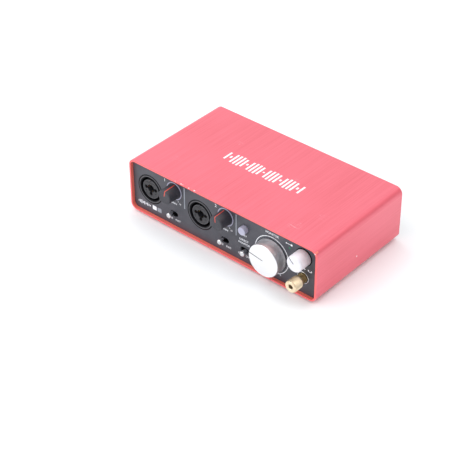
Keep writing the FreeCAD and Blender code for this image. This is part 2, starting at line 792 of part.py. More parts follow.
def potentiometer(label, x, z, shaft_front):
    """Body between the sub-panel and the control board, with a bushing, and its own shaft."""
    radius, inside = "sizes.pot_radius", ("places.inside_y", "places.control_y")
    can = rod(f"{label}_can", radius, x, inside, z)
    terminals = block(f"{label}_terminals", (f"{x} - {radius}", f"{x} + {radius}"), inside,
                      (f"{z} - sizes.pot_foot", z))
    front = "places.panel_y - sizes.bushing_front"
    bushing = rod(f"{label}_bushing", "sizes.bushing_radius", x, (front, "places.inside_y"), z)
    shaft_end = "places.inside_y + sizes.shaft_in_pot"
    bore = rod(f"{label}_bore", "sizes.shaft_radius + sizes.shaft_fit", x,
               (front, f"{shaft_end} + sizes.slider_gap"), z)
    sub_part(label, cut(label, fuse(f"{label}_solid", can, terminals, bushing), bore))
    shaft = rod(f"{label}_shaft", "sizes.shaft_radius", x,
                (f"places.panel_y - ({shaft_front})", shaft_end), z)
    sub_part(f"{label}_shaft", shaft)


# ---------------------------------------------------------------- lights

def light_pipes():
    span = ("places.panel_y", "places.inside_y")
    for index, x in enumerate(("places.gain_x1", "places.gain_x2"), 1):
        sub_part(f"gain_halo_{index}", halo_ring(f"halo_pipe_{index}", x, "places.gain_z", span))
    pipe = rod("usb_light_pipe", "sizes.light_radius", "places.usb_light_x",
               (span[0], "places.control_y - 0.8"), "places.usb_light_z")
    sub_part("usb_light_pipe", pipe)


def front_leds():
    """Small lamps on the control board, round each gain pot and behind the pipe."""
    spots = [("places.usb_light_x", "places.usb_light_z")]
    for x in ("places.gain_x1", "places.gain_x2"):
        for angle in (60, 90, 120):
            across, up = math.cos(math.radians(angle)), math.sin(math.radians(angle))
            spots.append((f"{x} + {across:.3f} * sizes.halo_radius",
                          f"places.gain_z + {up:.3f} * sizes.halo_radius"))
    span = ("places.control_y - 0.8", "places.control_y")
    lamps = [block("lamp", (f"{x} - 0.8", f"{x} + 0.8"), span, (f"{z} - 0.6", f"{z} + 0.6"))
             for x, z in spots]
    sub_part("front_leds", group_of("front_leds", lamps))


# ---------------------------------------------------------------- switches

def slide_switch(label, x, side):
    """Metal stub that slides along X in a slot; side is the end of its travel at rest."""
    rest = f"{x} {side} sizes.lever_throw / 2"
    stub = body(f"{label}_stub")
    neck, tip, reach = "sizes.lever_neck_radius", "sizes.lever_tip_radius", "sizes.lever_reach"
    slider_y = "places.panels_thick + sizes.slider_gap"
    revolve(stub, f"{label}_stub_turned", [
        ("0", f"-{reach}"), (tip, f"-{reach}"), (tip, f"-{reach} + 2.2"),
        (neck, "-0.2"), (neck, slider_y), ("0", slider_y)])
    dress(stub, "Fillet", f"{label}_stub_tip", "1.2", at_y(-number(reach)))
    slider = sketch(stub, f"{label}_slider", "XZ_Plane", f"-({slider_y})")
    rectangle(slider, ("-sizes.slider_half_width", "sizes.slider_half_width"),
              ("-sizes.slider_half_height", "sizes.slider_half_height"))
    pad(stub, f"{label}_slider_pad", slider, "sizes.slider_thick")
    put(stub, rest, "places.panel_y", "places.switch_z")
    sub_part(f"{label}_lever", stub)

    hollow_half = "(sizes.slider_half_width + sizes.lever_throw / 2 + sizes.slider_gap)"
    hollow_high = "(sizes.slider_half_height + sizes.slider_gap)"
    outer_half = f"({hollow_half} + sizes.switch_wall)"
    outer_high = f"({hollow_high} + sizes.switch_wall)"
    case = block(f"{label}_case", (f"{x} - {outer_half}", f"{x} + {outer_half}"),
                 ("places.inside_y", "places.control_y"),
                 (f"places.switch_z - {outer_high}", f"places.switch_z + {outer_high}"))
    hollow_end = "places.inside_y + sizes.slider_thick + 2 * sizes.slider_gap"
    hollow = block(f"{label}_hollow", (f"{x} - {hollow_half}", f"{x} + {hollow_half}"),
                   ("places.inside_y", hollow_end),
                   (f"places.switch_z - {hollow_high}", f"places.switch_z + {hollow_high}"))
    sub_part(f"{label}_body", cut(f"{label}_body", case, hollow))


def phantom_button():
    """Round translucent cap, its plunger and the push switch on the control board."""
    cap = body("phantom_cap")
    radius, reach, tail = "sizes.button_radius", "sizes.button_reach", "sizes.button_tail"
    revolve(cap, "phantom_cap_turned", [("0", f"-{reach}"), (radius, f"-{reach}"), (radius, tail),
                                        ("0", tail)])
    dress(cap, "Fillet", "phantom_cap_edge", "sizes.button_edge", at_y(-number(reach)))
    put(cap, "places.phantom_x", "places.panel_y", "places.phantom_z")
    sub_part("phantom_button", cap)

    half = "sizes.plunger_half_width"
    plunger_low = f"places.panel_y + {tail}"
    plunger_high = f"{plunger_low} + sizes.plunger_length"
    x, z = "places.phantom_x", "places.phantom_z"
    sub_part("phantom_switch_plunger", block(
        "phantom_switch_plunger", (f"{x} - {half}", f"{x} + {half}"), (plunger_low, plunger_high),
        (f"{z} - {half}", f"{z} + {half}")))

    case_front = f"{plunger_low} + sizes.button_travel + sizes.slider_gap"
    wide = "sizes.button_switch_half_width"
    case = block("phantom_case", (f"{x} - {wide}", f"{x} + {wide}"),
                 (case_front, "places.control_y"), (f"{z} - {wide}", f"{z} + {wide}"))
    gap = "(sizes.plunger_half_width + sizes.moving_gap)"
    well = block("phantom_well", (f"{x} - {gap}", f"{x} + {gap}"),
                 (case_front, f"{plunger_high} + sizes.button_travel + sizes.slider_gap"),
                 (f"{z} - {gap}", f"{z} + {gap}"))
    sub_part("phantom_switch_body", cut("phantom_switch_body", case, well))


# ---------------------------------------------------------------- 6.35 mm sockets

def headphone_jack():
    half = "sizes.socket_half_width"
    x, z = "places.phones_x", "places.phones_socket_z"
    case = block("phones_case", (f"{x} - {half}", f"{x} + {half}"),
                 ("places.inside_y", "places.panel_y + sizes.socket_depth"),
                 ("places.board_top", f"{z} + sizes.socket_over"))
    front = "places.panel_y - sizes.bushing_proud"
    bushing = rod("phones_bushing", "sizes.bushing_outer", x, (front, "places.inside_y"), z)
    bore = rod("phones_socket_bore", "sizes.plug_bore", x,
               (front, "places.panel_y + sizes.socket_depth - sizes.jack_end_wall"), z)
    sub_part("headphone_jack", cut("headphone_jack", fuse("phones_solid", case, bushing), bore))


def line_output(label, x):
    half = "sizes.socket_half_width"
    z = "places.rear_socket_z"
    deep = "places.rear_inside - sizes.rear_socket_depth"
    case = block(f"{label}_case", (f"{x} - {half}", f"{x} + {half}"), (deep, "places.rear_inside"),
                 ("places.board_top", f"{z} + sizes.socket_over"))
    mouth = "places.rear_y + sizes.rear_reach"
    bushing = rod(f"{label}_bushing", "sizes.bushing_outer", x, ("places.rear_inside", mouth), z)
    bore = rod(f"{label}_bore", "sizes.plug_bore", x, (f"{deep} + sizes.jack_end_wall", mouth), z)
    sub_part(label, cut(label, fuse(f"{label}_solid", case, bushing), bore))


def output_nuts():
    """Hexagon nuts that hold the rear bushings to the panel."""
    nuts = []
    corner = "(sizes.nut_half_width / cos(30))"
    for index, x in enumerate(("places.output_x1", "places.output_x2")):
        nut = body(f"nut_{index}")
        outline = sketch(nut, f"nut_outline_{index}", "XZ_Plane")
        turns = [(f"{corner} * cos({60 * step})", f"{corner} * sin({60 * step})") for step in range(6)]
        polygon(outline, turns)
        pad(nut, f"nut_pad_{index}", outline, "sizes.nut_thick")
        hole = sketch(nut, f"nut_hole_{index}", "XZ_Plane")
        circle(hole, "sizes.bushing_outer")
        pocket(nut, f"nut_bore_{index}", hole, "sizes.nut_thick")
        put(nut, x, "places.rear_face", "places.rear_socket_z")
        nuts.append(nut)
    sub_part("line_output_nuts", group_of("line_output_nuts", nuts))


def socket_contacts():
    """Solder tails of the three 6.35 mm sockets, on the inner end of each."""
    tails = []
    phones_end = "places.panel_y + sizes.socket_depth"
    deep = "places.rear_inside - sizes.rear_socket_depth"
    ends = (("places.phones_x", (phones_end, f"{phones_end} + 2")),
            ("places.output_x1", (f"{deep} - 2", deep)), ("places.output_x2", (f"{deep} - 2", deep)))
    for x, span in ends:
        for shift in ("-4", "0", "4"):
            tails.append(block("tail", (f"{x} + {shift} - 0.8", f"{x} + {shift} + 0.8"), span,
                               ("places.board_top", "places.board_top + 4")))
    sub_part("socket_contacts", group_of("socket_contacts", tails))


# ---------------------------------------------------------------- USB socket

def usb_socket():
    """Folded steel shell with its two upper edges bevelled, and the moulded tongue in it."""
    shell = body("usb_shell")
    half = "sizes.usb_width / 2"
    outline = sketch(shell, "usb_outline", "XZ_Plane")
    bevel, height, sheet_metal = "sizes.usb_bevel", "sizes.usb_height", "sizes.usb_sheet"
    polygon(outline, [(f"-{half}", "0"), (half, "0"), (half, f"{height} - {bevel}"),
                      (f"{half} - {bevel}", height), (f"-{half} + {bevel}", height),
                      (f"-{half}", f"{height} - {bevel}")])
    pad(shell, "usb_shell_pad", outline, "sizes.usb_depth", towards_back=False)
    inner = body("usb_cavity")
    inside = sketch(inner, "usb_inside", "XZ_Plane")
    narrow = f"({half} - {sheet_metal})"
    slope = f"({bevel} - {sheet_metal} / 2)"
    roof = f"({height} - {sheet_metal})"
    polygon(inside, [(f"-{narrow}", sheet_metal), (narrow, sheet_metal), (narrow, f"{roof} - {slope}"),
                     (f"{narrow} - {slope}", roof), (f"-{narrow} + {slope}", roof),
                     (f"-{narrow}", f"{roof} - {slope}")])
    pad(inner, "usb_cavity_pad", inside, "sizes.usb_depth - 3", towards_back=False)
    hollowed = cut("usb_hollowed", shell, inner)
    mouth = "places.rear_face + 0.5"
    put(hollowed, "places.usb_x", mouth, "places.board_top")
    sub_part("usb_socket_shell", hollowed)

    tongue_low = f"places.board_top + {height} / 2 - 1.6"
    back = f"{mouth} - sizes.usb_depth + 3"
    sub_part("usb_socket_tongue", block(
        "usb_socket_tongue", ("places.usb_x - 2.8", "places.usb_x + 2.8"), (back, f"{mouth} - 2.5"),
        (tongue_low, f"{tongue_low} + 3.2")))


# ---------------------------------------------------------------- headphone adapter

def turned_piece(label, points):
    """A piece of the adapter, turned about the headphone socket's axis."""
    made = body(f"{label}_turned_body")
    revolve(made, f"{label}_turned", points)
    put(made, "places.phones_x", "places.panel_y", "places.phones_socket_z")
    return sub_part(label, made)


def headphone_adapter():
    """A 3.5 mm socket in a knurled barrel, on a 6.35 mm plug of sleeve, ring and tip."""
    seat = "-places.plug_seat"
    barrel_back = "-places.barrel_end + sizes.barrel_length"
    bore_end = "-places.barrel_end + sizes.phones_bore_depth"
    plug, core = "places.plug_radius", "sizes.plug_core_radius"
    barrel = turned_piece("adapter_barrel", [
        ("sizes.phones_bore", "-places.barrel_end"), ("sizes.barrel_radius", "-places.barrel_end"),
        ("sizes.barrel_radius", barrel_back), ("sizes.collar_radius", barrel_back),
        ("sizes.collar_radius", seat), ("sizes.phones_bore", seat)])
    rim_levels = at_y(-number("places.barrel_end"), number(barrel_back))

    def barrel_rim(edge):
        is_outer = edge.BoundBox.XLength > 2 * number("sizes.barrel_radius") - 0.01
        return rim_levels(edge) and is_outer
    dress(barrel, "Chamfer", "barrel_edges", "sizes.barrel_edge", barrel_rim)

    sleeve_end = f"{seat} + sizes.plug_sleeve_length"
    first_gap = f"{sleeve_end} + sizes.insulator_length"
    ring_end = f"{first_gap} + sizes.plug_ring_length"
    second_gap = f"{ring_end} + sizes.insulator_length"
    tip_end = f"{seat} + sizes.plug_length"
    pin_start = f"{bore_end} + 0.3"
    turned_piece("adapter_plug_sleeve", [
        ("sizes.phones_bore", seat), (plug, seat), (plug, sleeve_end), (core, sleeve_end),
        (core, bore_end), ("sizes.phones_bore", bore_end)])
    turned_piece("adapter_plug_ring", [
        (core, first_gap), (plug, first_gap), (plug, ring_end), (core, ring_end)])
    pin_radius = "sizes.plug_pin_radius"
    turned_piece("adapter_insulators", [
        (pin_radius, bore_end), (core, bore_end), (core, sleeve_end), (plug, sleeve_end),
        (plug, first_gap), (core, first_gap), (core, ring_end), (plug, ring_end),
        (plug, second_gap), (pin_radius, second_gap)])
    waist = "sizes.tip_waist"
    turned_piece("adapter_plug_tip", [
        ("0", pin_start), (pin_radius, pin_start), (pin_radius, second_gap), (plug, second_gap),
        (plug, f"{second_gap} + 1.2"), (waist, f"{second_gap} + 2.4"), (plug, f"{second_gap} + 4.2"),
        ("0.8", tip_end), ("0", tip_end)])


# ---------------------------------------------------------------- boards

def main_board():
    half = "(places.opening_half - sizes.board_gap)"
    sub_part("main_board", block(
        "main_board", (f"-{half}", half),
        ("places.inside_y + sizes.board_gap", "places.rear_inside - sizes.board_gap"),
        ("places.board_low", "places.board_top")))


def control_board():
    """Upright board with cut-outs for the input housings and the headphone socket."""
    span = ("places.control_y", "places.control_back")
    half = "(places.port_x - sizes.port_radius - sizes.board_gap)"
    plate = block("control_plate", (f"-{half}", half), span,
                  ("places.board_top", "places.gain_z + sizes.halo_radius + sizes.halo_width"))
    room = "(sizes.jack_half_width + sizes.board_gap)"
    notches = []
    for x in ("places.input_x1", "places.input_x2"):
        notches.append(block("input_notch", (f"{x} - {room}", f"{x} + {room}"), span,
                             ("places.board_top", f"places.input_z + {room}")))
    wide = "(sizes.socket_half_width + sizes.board_gap)"
    notches.append(block("phones_notch", (f"places.phones_x - {wide}", f"places.phones_x + {wide}"),
                         span, ("places.board_top",
                                "places.phones_socket_z + sizes.socket_over + sizes.board_gap")))
    sub_part("control_board", cut("control_board", plate, *notches))


def board_header():
    """Right-angle connector from the control board's back to the main board."""
    x = "(places.phantom_x + 4)"
    back = "places.control_back"
    foot = block("header_foot", (f"{x} - 11", f"{x} + 11"), (back, f"{back} + 9"),
                 ("places.board_top", "places.board_top + 2.6"))
    upright = block("header_upright", (f"{x} - 11", f"{x} + 11"), (back, f"{back} + 2.6"),
                    ("places.board_top", "places.board_top + 9"))
    sub_part("board_header", fuse("board_header", foot, upright))


def board_components():
    """Chips and capacitors on the main board, in the clear middle of the case."""
    chips = []
    centre_y = "(places.control_back + places.rear_inside) / 2"
    for shift, width, length in ((-20, 9.0, 9.0), (4, 7.0, 7.0), (24, 5.0, 6.0), (42, 10.0, 7.0)):
        chips.append(block("chip", (f"{shift} - {width / 2}", f"{shift} + {width / 2}"),
                           (f"{centre_y} - {length / 2}", f"{centre_y} + {length / 2}"),
                           ("places.board_top", "places.board_top + 1.2")))
    sub_part("audio_chips", group_of("audio_chips", chips))
    cans = []
    for step in range(5):
        can = doc.addObject("Part::Cylinder", "can")
        bind(can, Radius="3.15", Height="11")
        put(can, f"{-8 + 9 * step}", f"{centre_y} + 14", "places.board_top")
        cans.append(can)
    sub_part("capacitors", group_of("capacitors", cans))


# ---------------------------------------------------------------- assembly

def build_all():
    case_sleeve()
    rubber_feet()
    front_panels()
    rear_panel()
    lock_slot_plate()
    for index in (1, 2):
        x = f"places.input_x{index}"
        jack_shell(f"input_jack_{index}_shell", x)
        jack_core(f"input_jack_{index}_core", x)
        jack_contacts(f"input_jack_{index}_contacts", x)
        potentiometer(f"gain_pot_{index}", f"places.gain_x{index}", "places.gain_z",
                      "sizes.shaft_front")
        slide_switch(f"instrument_switch_{index}", f"places.switch_x{index}", "-")
    gain_knob("gain_knob_1", "places.gain_x1", "sizes.gain_turn_first")
    gain_knob("gain_knob_2", "places.gain_x2", "sizes.gain_turn_second")
    slide_switch("direct_monitor_switch", "places.phantom_x", "+")
    phantom_button()
    monitor_knob()
    potentiometer("monitor_pot", "places.monitor_x", "places.monitor_z",
                  "sizes.shaft_front - sizes.hub_flange")
    headphone_knob()
    potentiometer("headphone_pot", "places.phones_x", "places.gain_z", "sizes.shaft_front")
    light_pipes()
    front_leds()
    headphone_jack()
    headphone_adapter()
    line_output("line_output_1", "places.output_x1")
    line_output("line_output_2", "places.output_x2")
    output_nuts()
    socket_contacts()
    usb_socket()
    main_board()
    control_board()
    board_header()
    board_components()


def check_all():
    """Stop if any object failed to recompute or any sub-part is not a sound solid."""
    doc.recompute()
    for thing in doc.Objects:
        if "Invalid" in thing.State or "Error" in thing.State:
            raise RuntimeError(f"{thing.Name} failed: {thing.State}")
    for thing in sub_parts:
        shape = thing.Shape
        if shape.isNull() or not shape.isValid() or not shape.Solids:
            raise RuntimeError(f"{thing.Label} is not a sound solid")


def write_all():
    os.makedirs("parts", exist_ok=True)
    for thing in sub_parts:
        thing.Shape.exportStep(f"parts/{thing.Label}.step")
        print(f"{thing.Label}: {len(thing.Shape.Solids)} solid(s), {thing.Shape.Volume:.1f} mm3")


build_all()
check_all()
write_all()
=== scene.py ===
# %% [markdown]
# # A desktop audio interface
# The object is a red extruded sleeve with a black panel at each end. The imported model already has
# every part at its real size and place, so this lesson is about finishes, printed marks, and the
# few pieces whose real shape is finer than the model's: the knurled adapter, the jack trims and two
# thin rings on the panel. Some of these rings are painted light: a grey highlight ring and a black
# shadow ring on each jack, and a black shadow ring under the headphone knob.

# %% Load the frame
import json
import math

import bpy
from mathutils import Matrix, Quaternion, Vector


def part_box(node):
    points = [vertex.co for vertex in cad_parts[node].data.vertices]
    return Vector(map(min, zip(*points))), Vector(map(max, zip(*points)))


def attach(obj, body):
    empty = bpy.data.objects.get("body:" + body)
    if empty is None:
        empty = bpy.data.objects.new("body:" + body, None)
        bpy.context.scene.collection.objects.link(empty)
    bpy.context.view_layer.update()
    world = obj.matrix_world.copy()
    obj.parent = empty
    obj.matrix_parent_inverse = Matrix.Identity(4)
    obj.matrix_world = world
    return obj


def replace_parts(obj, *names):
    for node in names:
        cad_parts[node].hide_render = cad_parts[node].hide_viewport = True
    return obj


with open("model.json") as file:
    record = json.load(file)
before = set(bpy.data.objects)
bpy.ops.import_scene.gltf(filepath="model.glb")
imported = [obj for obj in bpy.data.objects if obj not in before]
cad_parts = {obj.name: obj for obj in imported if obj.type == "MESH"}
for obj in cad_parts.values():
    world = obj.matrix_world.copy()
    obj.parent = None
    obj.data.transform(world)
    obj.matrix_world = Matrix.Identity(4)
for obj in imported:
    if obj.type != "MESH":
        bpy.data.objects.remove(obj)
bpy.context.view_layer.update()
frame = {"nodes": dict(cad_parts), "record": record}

nodes = frame["nodes"]
MM = 0.001


# %% [markdown]
# ## The camera
# The view is from above and to the right with a long lens, so the edges hardly converge. A camera
# is easiest to keep right when it is given as a point to look at, two angles, a distance and a
# small roll.

# %% Camera
AIM = Vector((-16.4, -18.8, 4.6)) * MM
CAMERA_AZIMUTH, CAMERA_ELEVATION, CAMERA_ROLL = 41.366, 36.489, -0.512
CAMERA_DISTANCE = 1.0
LENS, SENSOR_WIDTH = 109.116, 36.0


def direction(azimuth, elevation):
    """A unit vector from the object towards a viewer; azimuth 0 is straight in front."""
    turn, rise = math.radians(azimuth), math.radians(elevation)
    flat = math.cos(rise)
    return Vector((math.sin(turn) * flat, -math.cos(turn) * flat, math.sin(rise)))


def look(thing, azimuth, elevation, distance, roll=0.0):
    """Put a camera or lamp on a sphere round the aim, facing it."""
    away = direction(azimuth, elevation)
    thing.location = AIM + away * distance
    level = away.to_track_quat("Z", "Y")
    thing.rotation_mode = "QUATERNION"
    thing.rotation_quaternion = level @ Quaternion((0, 0, 1), math.radians(roll))


camera = bpy.data.objects.new("camera", bpy.data.cameras.new("camera"))
bpy.context.scene.collection.objects.link(camera)
camera.data.lens = LENS
camera.data.sensor_width = SENSOR_WIDTH
look(camera, CAMERA_AZIMUTH, CAMERA_ELEVATION, CAMERA_DISTANCE, CAMERA_ROLL)
bpy.context.scene.camera = camera
print("camera at", [round(value, 3) for value in camera.location])


# %% [markdown]
# ## Light and floor
# A product table: white paper, three soft lamps and a bright room all round. The key lamp stands
# high on the right and a little behind, a larger and slightly blue one at the front left lights
# the panel and the floor before it, and a weak one on the left keeps the shadows open. Metal
# shows what it mirrors, so the room is not one flat white: it grows darker towards the right,
# which gives the turned knobs their grey side.

# %% Lamps
view = bpy.context.scene.view_settings
view.view_transform = "Standard"
view.look = "None"
view.exposure = 0.0


def lamp(name, azimuth, elevation, distance, size, power, tint=(1.0, 1.0, 1.0)):
    """A square soft lamp aimed at the object."""
    made = bpy.data.objects.new(name, bpy.data.lights.new(name, "AREA"))
    bpy.context.scene.collection.objects.link(made)
    made.data.size = size
    made.data.energy = power
    made.data.color = tint
    look(made, azimuth, elevation, distance)
    return made


lamp("key_lamp", azimuth=118, elevation=60, distance=1.6, size=1.5, power=6.6)
lamp("left_lamp", azimuth=-115, elevation=55, distance=1.7, size=0.8, power=2.2)
lamp("front_lamp", azimuth=-30, elevation=44, distance=1.8, size=1.6, power=12.5,
     tint=(0.97, 0.98, 1.0))
print("lamps:", len(bpy.data.lights))

# %% Room
ROOM_WHITE = (0.985, 0.985, 1.0, 1.0)
BRIGHT_LEFT, DIM_RIGHT = 1.0, 0.58
world = bpy.data.worlds.new("room")
bpy.context.scene.world = world
world.use_nodes = True
room = world.node_tree
room_coords = room.nodes.new("ShaderNodeTexCoord")
room_split = room.nodes.new("ShaderNodeSeparateXYZ")
room.links.new(room_coords.outputs["Generated"], room_split.inputs["Vector"])
room_ramp = room.nodes.new("ShaderNodeMapRange")
room_ramp.inputs["From Min"].default_value = -0.1
room_ramp.inputs["From Max"].default_value = 1.0
room_ramp.inputs["To Min"].default_value = BRIGHT_LEFT
room_ramp.inputs["To Max"].default_value = DIM_RIGHT
room.links.new(room_split.outputs["X"], room_ramp.inputs["Value"])
room.links.new(room_ramp.outputs["Result"], room.nodes["Background"].inputs["Strength"])
room.nodes["Background"].inputs["Color"].default_value = ROOM_WHITE
print("room strength from", BRIGHT_LEFT, "on the left to", DIM_RIGHT, "on the right")

# %% Floor
FLOOR_SIDE = 8.0
PAPER_WHITE = (0.95, 0.968, 0.975, 1.0)
bpy.ops.object.select_all(action="DESELECT")
bpy.ops.mesh.primitive_plane_add(size=FLOOR_SIDE, location=(0, 0, 0))
floor = bpy.context.active_object
floor.name = "floor"
paper = bpy.data.materials.new("paper")
paper.use_nodes = True
paper_shader = paper.node_tree.nodes["Principled BSDF"]
paper_shader.inputs["Base Color"].default_value = PAPER_WHITE
paper_shader.inputs["Roughness"].default_value = 0.9
paper_shader.inputs["Specular IOR Level"].default_value = 0.1
floor.data.materials.append(paper)
print("floor:", FLOOR_SIDE, "m of paper")


# %% [markdown]
# ## Tools for finishes
# A finish is a small tree of nodes. These helpers keep each one short: place a node and set its
# inputs, do sums, blend two colours, and stretch a range. Patterns read Object coordinates, in
# metres.

# %% Node helpers
def place(tree, kind, values=None, **settings):
    """Add a node, set its own settings and the default values of its inputs."""
    node = tree.nodes.new(kind)
    for name, value in settings.items():
        setattr(node, name, value)
    for name, value in (values or {}).items():
        if isinstance(value, bpy.types.NodeSocket):
            tree.links.new(value, node.inputs[name])
        else:
            node.inputs[name].default_value = value
    return node


def sums(tree, operation, first, second=0.0):
    """A Math node of two sockets or numbers."""
    return place(tree, "ShaderNodeMath", {0: first, 1: second}, operation=operation).outputs[0]


def product(tree, first, second):
    """Two values multiplied."""
    return sums(tree, "MULTIPLY", first, second)


def stretch(tree, value, low, high, to_low=0.0, to_high=1.0):
    """Map low..high onto to_low..to_high, held at both ends."""
    values = {"Value": value, "From Min": low, "From Max": high,
              "To Min": to_low, "To Max": to_high}
    return place(tree, "ShaderNodeMapRange", values).outputs["Result"]


def mix(tree, factor, first, second):
    """Blend two colours, each a socket or (r, g, b)."""
    sides = [value if isinstance(value, bpy.types.NodeSocket) else (*value, 1.0)
             for value in (first, second)]
    return place(tree, "ShaderNodeMix", {0: factor, 6: sides[0], 7: sides[1]},
                 data_type="RGBA").outputs[2]


def mix_value(tree, factor, first, second):
    """Blend two numbers."""
    return place(tree, "ShaderNodeMix", {0: factor, 2: first, 3: second},
                 data_type="FLOAT").outputs[0]


def coordinates(tree, scale=(1.0, 1.0, 1.0), shift=(0.0, 0.0, 0.0)):
    """Object coordinates, shifted in metres and then scaled."""
    source = place(tree, "ShaderNodeTexCoord").outputs["Object"]
    moved = place(tree, "ShaderNodeVectorMath", {0: source, 1: shift}, operation="SUBTRACT")
    return place(tree, "ShaderNodeVectorMath", {0: moved.outputs[0], 1: scale},
                 operation="MULTIPLY").outputs[0]


def noise(tree, vector, detail=2.0, roughness=0.5):
    """Soft noise with a feature about one unit wide."""
    values = {"Vector": vector, "Scale": 1.0, "Detail": detail, "Roughness": roughness}
    return place(tree, "ShaderNodeTexNoise", values).outputs["Fac"]


def bump(tree, height, distance, strength):
    """A normal bent by a height; distance is the height of a full step, in metres."""
    return place(tree, "ShaderNodeBump",
                 {"Height": height, "Distance": distance, "Strength": strength}).outputs["Normal"]


def finish(name, **constants):
    """A new material: its tree and its shader, with constants set on the shader's own sockets."""
    material = bpy.data.materials.new(name)
    material.use_nodes = True
    shader = material.node_tree.nodes["Principled BSDF"]
    for socket, value in constants.items():
        shader.inputs[socket.replace("_", " ")].default_value = value
    return material, material.node_tree, shader


def feed(tree, shader, **sockets):
    """Link sockets to the shader's inputs; underscores stand for spaces."""
    for name, socket in sockets.items():
        tree.links.new(socket, shader.inputs[name.replace("_", " ")])


print("node helpers ready")


# %% [markdown]
# ## Effects that several finishes share
# Three effects turn up again and again on this object: fine moulded grain, thin handling
# scratches, and the dust that a used device gathers. Each is a node group with named inputs and
# outputs, so that every finish can place it with its own values.

# %% Tools for groups
def new_group(name, inputs, output):
    """A shader group with float inputs and one float output."""
    group = bpy.data.node_groups.new(name, "ShaderNodeTree")
    for label, value in inputs.items():
        socket = group.interface.new_socket(name=label, in_out="INPUT",
                                            socket_type="NodeSocketFloat")
        socket.default_value = value
    group.interface.new_socket(name=output, in_out="OUTPUT", socket_type="NodeSocketFloat")
    entry = group.nodes.new("NodeGroupInput")
    return group, entry, group.nodes.new("NodeGroupOutput")


def scaled_coordinates(tree, scale):
    """Object coordinates times one socket."""
    source = place(tree, "ShaderNodeTexCoord").outputs["Object"]
    node = place(tree, "ShaderNodeVectorMath", {0: source}, operation="SCALE")
    tree.links.new(scale, node.inputs["Scale"])
    return node.outputs[0]


def effect(tree, group, **values):
    """Place a shared group and give its inputs; the result is its one output."""
    node = tree.nodes.new("ShaderNodeGroup")
    node.node_tree = group
    for name, value in values.items():
        node.inputs[name.replace("_", " ")].default_value = value
    return node.outputs[0]


print("group tools ready")

# % Moulded grain
grain_group, entry, leaving = new_group("moulded_grain", {"Per metre": 4000.0}, "Height")
grain_place = scaled_coordinates(grain_group, entry.outputs["Per metre"])
grain_group.links.new(noise(grain_group, grain_place, 3.0, 0.6), leaving.inputs["Height"])
print("made", grain_group.name)

# % Dust: dots of a cell pattern, larger where a slow noise says that dust has gathered
DUST_PATCHES = (60.0, 60.0, 60.0)
dust_group, entry, leaving = new_group("dust", {"Per metre": 900.0, "Amount": 0.3}, "Mask")
dust_cells = place(dust_group, "ShaderNodeTexVoronoi",
                   {"Vector": scaled_coordinates(dust_group, entry.outputs["Per metre"]),
                    "Scale": 1.0, "Randomness": 1.0})
dust_patch = noise(dust_group, coordinates(dust_group, DUST_PATCHES), 3.0)
dust_size = product(dust_group, sums(dust_group, "POWER", dust_patch, 3.0), 0.5)
dust_dot = sums(dust_group, "LESS_THAN", dust_cells.outputs["Distance"], dust_size)
dust_group.links.new(product(dust_group, dust_dot, entry.outputs["Amount"]),
                     leaving.inputs["Mask"])
print("made", dust_group.name)

# % Scratches: the borders of large bent cells, kept only in patches
SCRATCH_BEND, SCRATCH_PATCHES, SCRATCH_WIDTH = (25.0, 25.0, 25.0), (90.0, 70.0, 80.0), 0.012
scratch_group, entry, leaving = new_group("scratches", {"Per metre": 50.0, "Amount": 0.5}, "Mask")
scratch_bend = noise(scratch_group, coordinates(scratch_group, SCRATCH_BEND), 1.0)
scratch_place = place(scratch_group, "ShaderNodeVectorMath",
                      {0: scaled_coordinates(scratch_group, entry.outputs["Per metre"]),
                       1: scratch_bend}, operation="ADD").outputs[0]
scratch_cells = place(scratch_group, "ShaderNodeTexVoronoi",
                      {"Vector": scratch_place, "Scale": 1.0}, feature="DISTANCE_TO_EDGE")
scratch_line = stretch(scratch_group, scratch_cells.outputs["Distance"], 0.0, SCRATCH_WIDTH,
                       1.0, 0.0)
scratch_patch = noise(scratch_group, coordinates(scratch_group, SCRATCH_PATCHES))
scratch_mask = product(scratch_group, scratch_line,
                       stretch(scratch_group, scratch_patch, 0.55, 0.7))
scratch_group.links.new(product(scratch_group, scratch_mask, entry.outputs["Amount"]),
                        leaving.inputs["Mask"])
print("groups:", [group.name for group in bpy.data.node_groups])


# %% [markdown]
# ## The red sleeve
# An extrusion is brushed along its length before it is dyed, so the fine lines run from front to
# back on every side. Three noises stretched along Y give hair lines, broader streaks and slow
# blotches. The mark printed on the top is a plain row of bars, made with sums on X and Y: bars
# repeat along X, and a slow wave sets how long each one is. Worn places are marked one by one, at a
# distance from named points, because wear is where a bag or a stand rubs.

# %% Sleeve: helpers for masks
IN_MM = (1000.0, 1000.0, 1000.0)


def axes(tree, shift=(0.0, 0.0, 0.0)):
    """X, Y and Z of the surface in millimetres, from a point given in millimetres."""
    moved = coordinates(tree, IN_MM, [value * MM for value in shift])
    return place(tree, "ShaderNodeSeparateXYZ", {0: moved}).outputs


def distance_from(tree, x, y, z):
    """How far the surface is from a point, all in millimetres."""
    away = coordinates(tree, IN_MM, (x * MM, y * MM, z * MM))
    return place(tree, "ShaderNodeVectorMath", {0: away}, operation="LENGTH").outputs["Value"]


def within(tree, value, middle, half, soft=0.05):
    """A mask that is 1 where value is closer than half to middle."""
    distance = sums(tree, "ABSOLUTE", sums(tree, "SUBTRACT", value, middle))
    return stretch(tree, distance, half - soft, half + soft, 1.0, 0.0)


def both(tree, *masks):
    """The overlap of several masks."""
    result = masks[0]
    for mask in masks[1:]:
        result = product(tree, result, mask)
    return result


def either(tree, *masks):
    """The union of several masks."""
    result = masks[0]
    for mask in masks[1:]:
        result = sums(tree, "MAXIMUM", result, mask)
    return result


print("mask helpers ready")

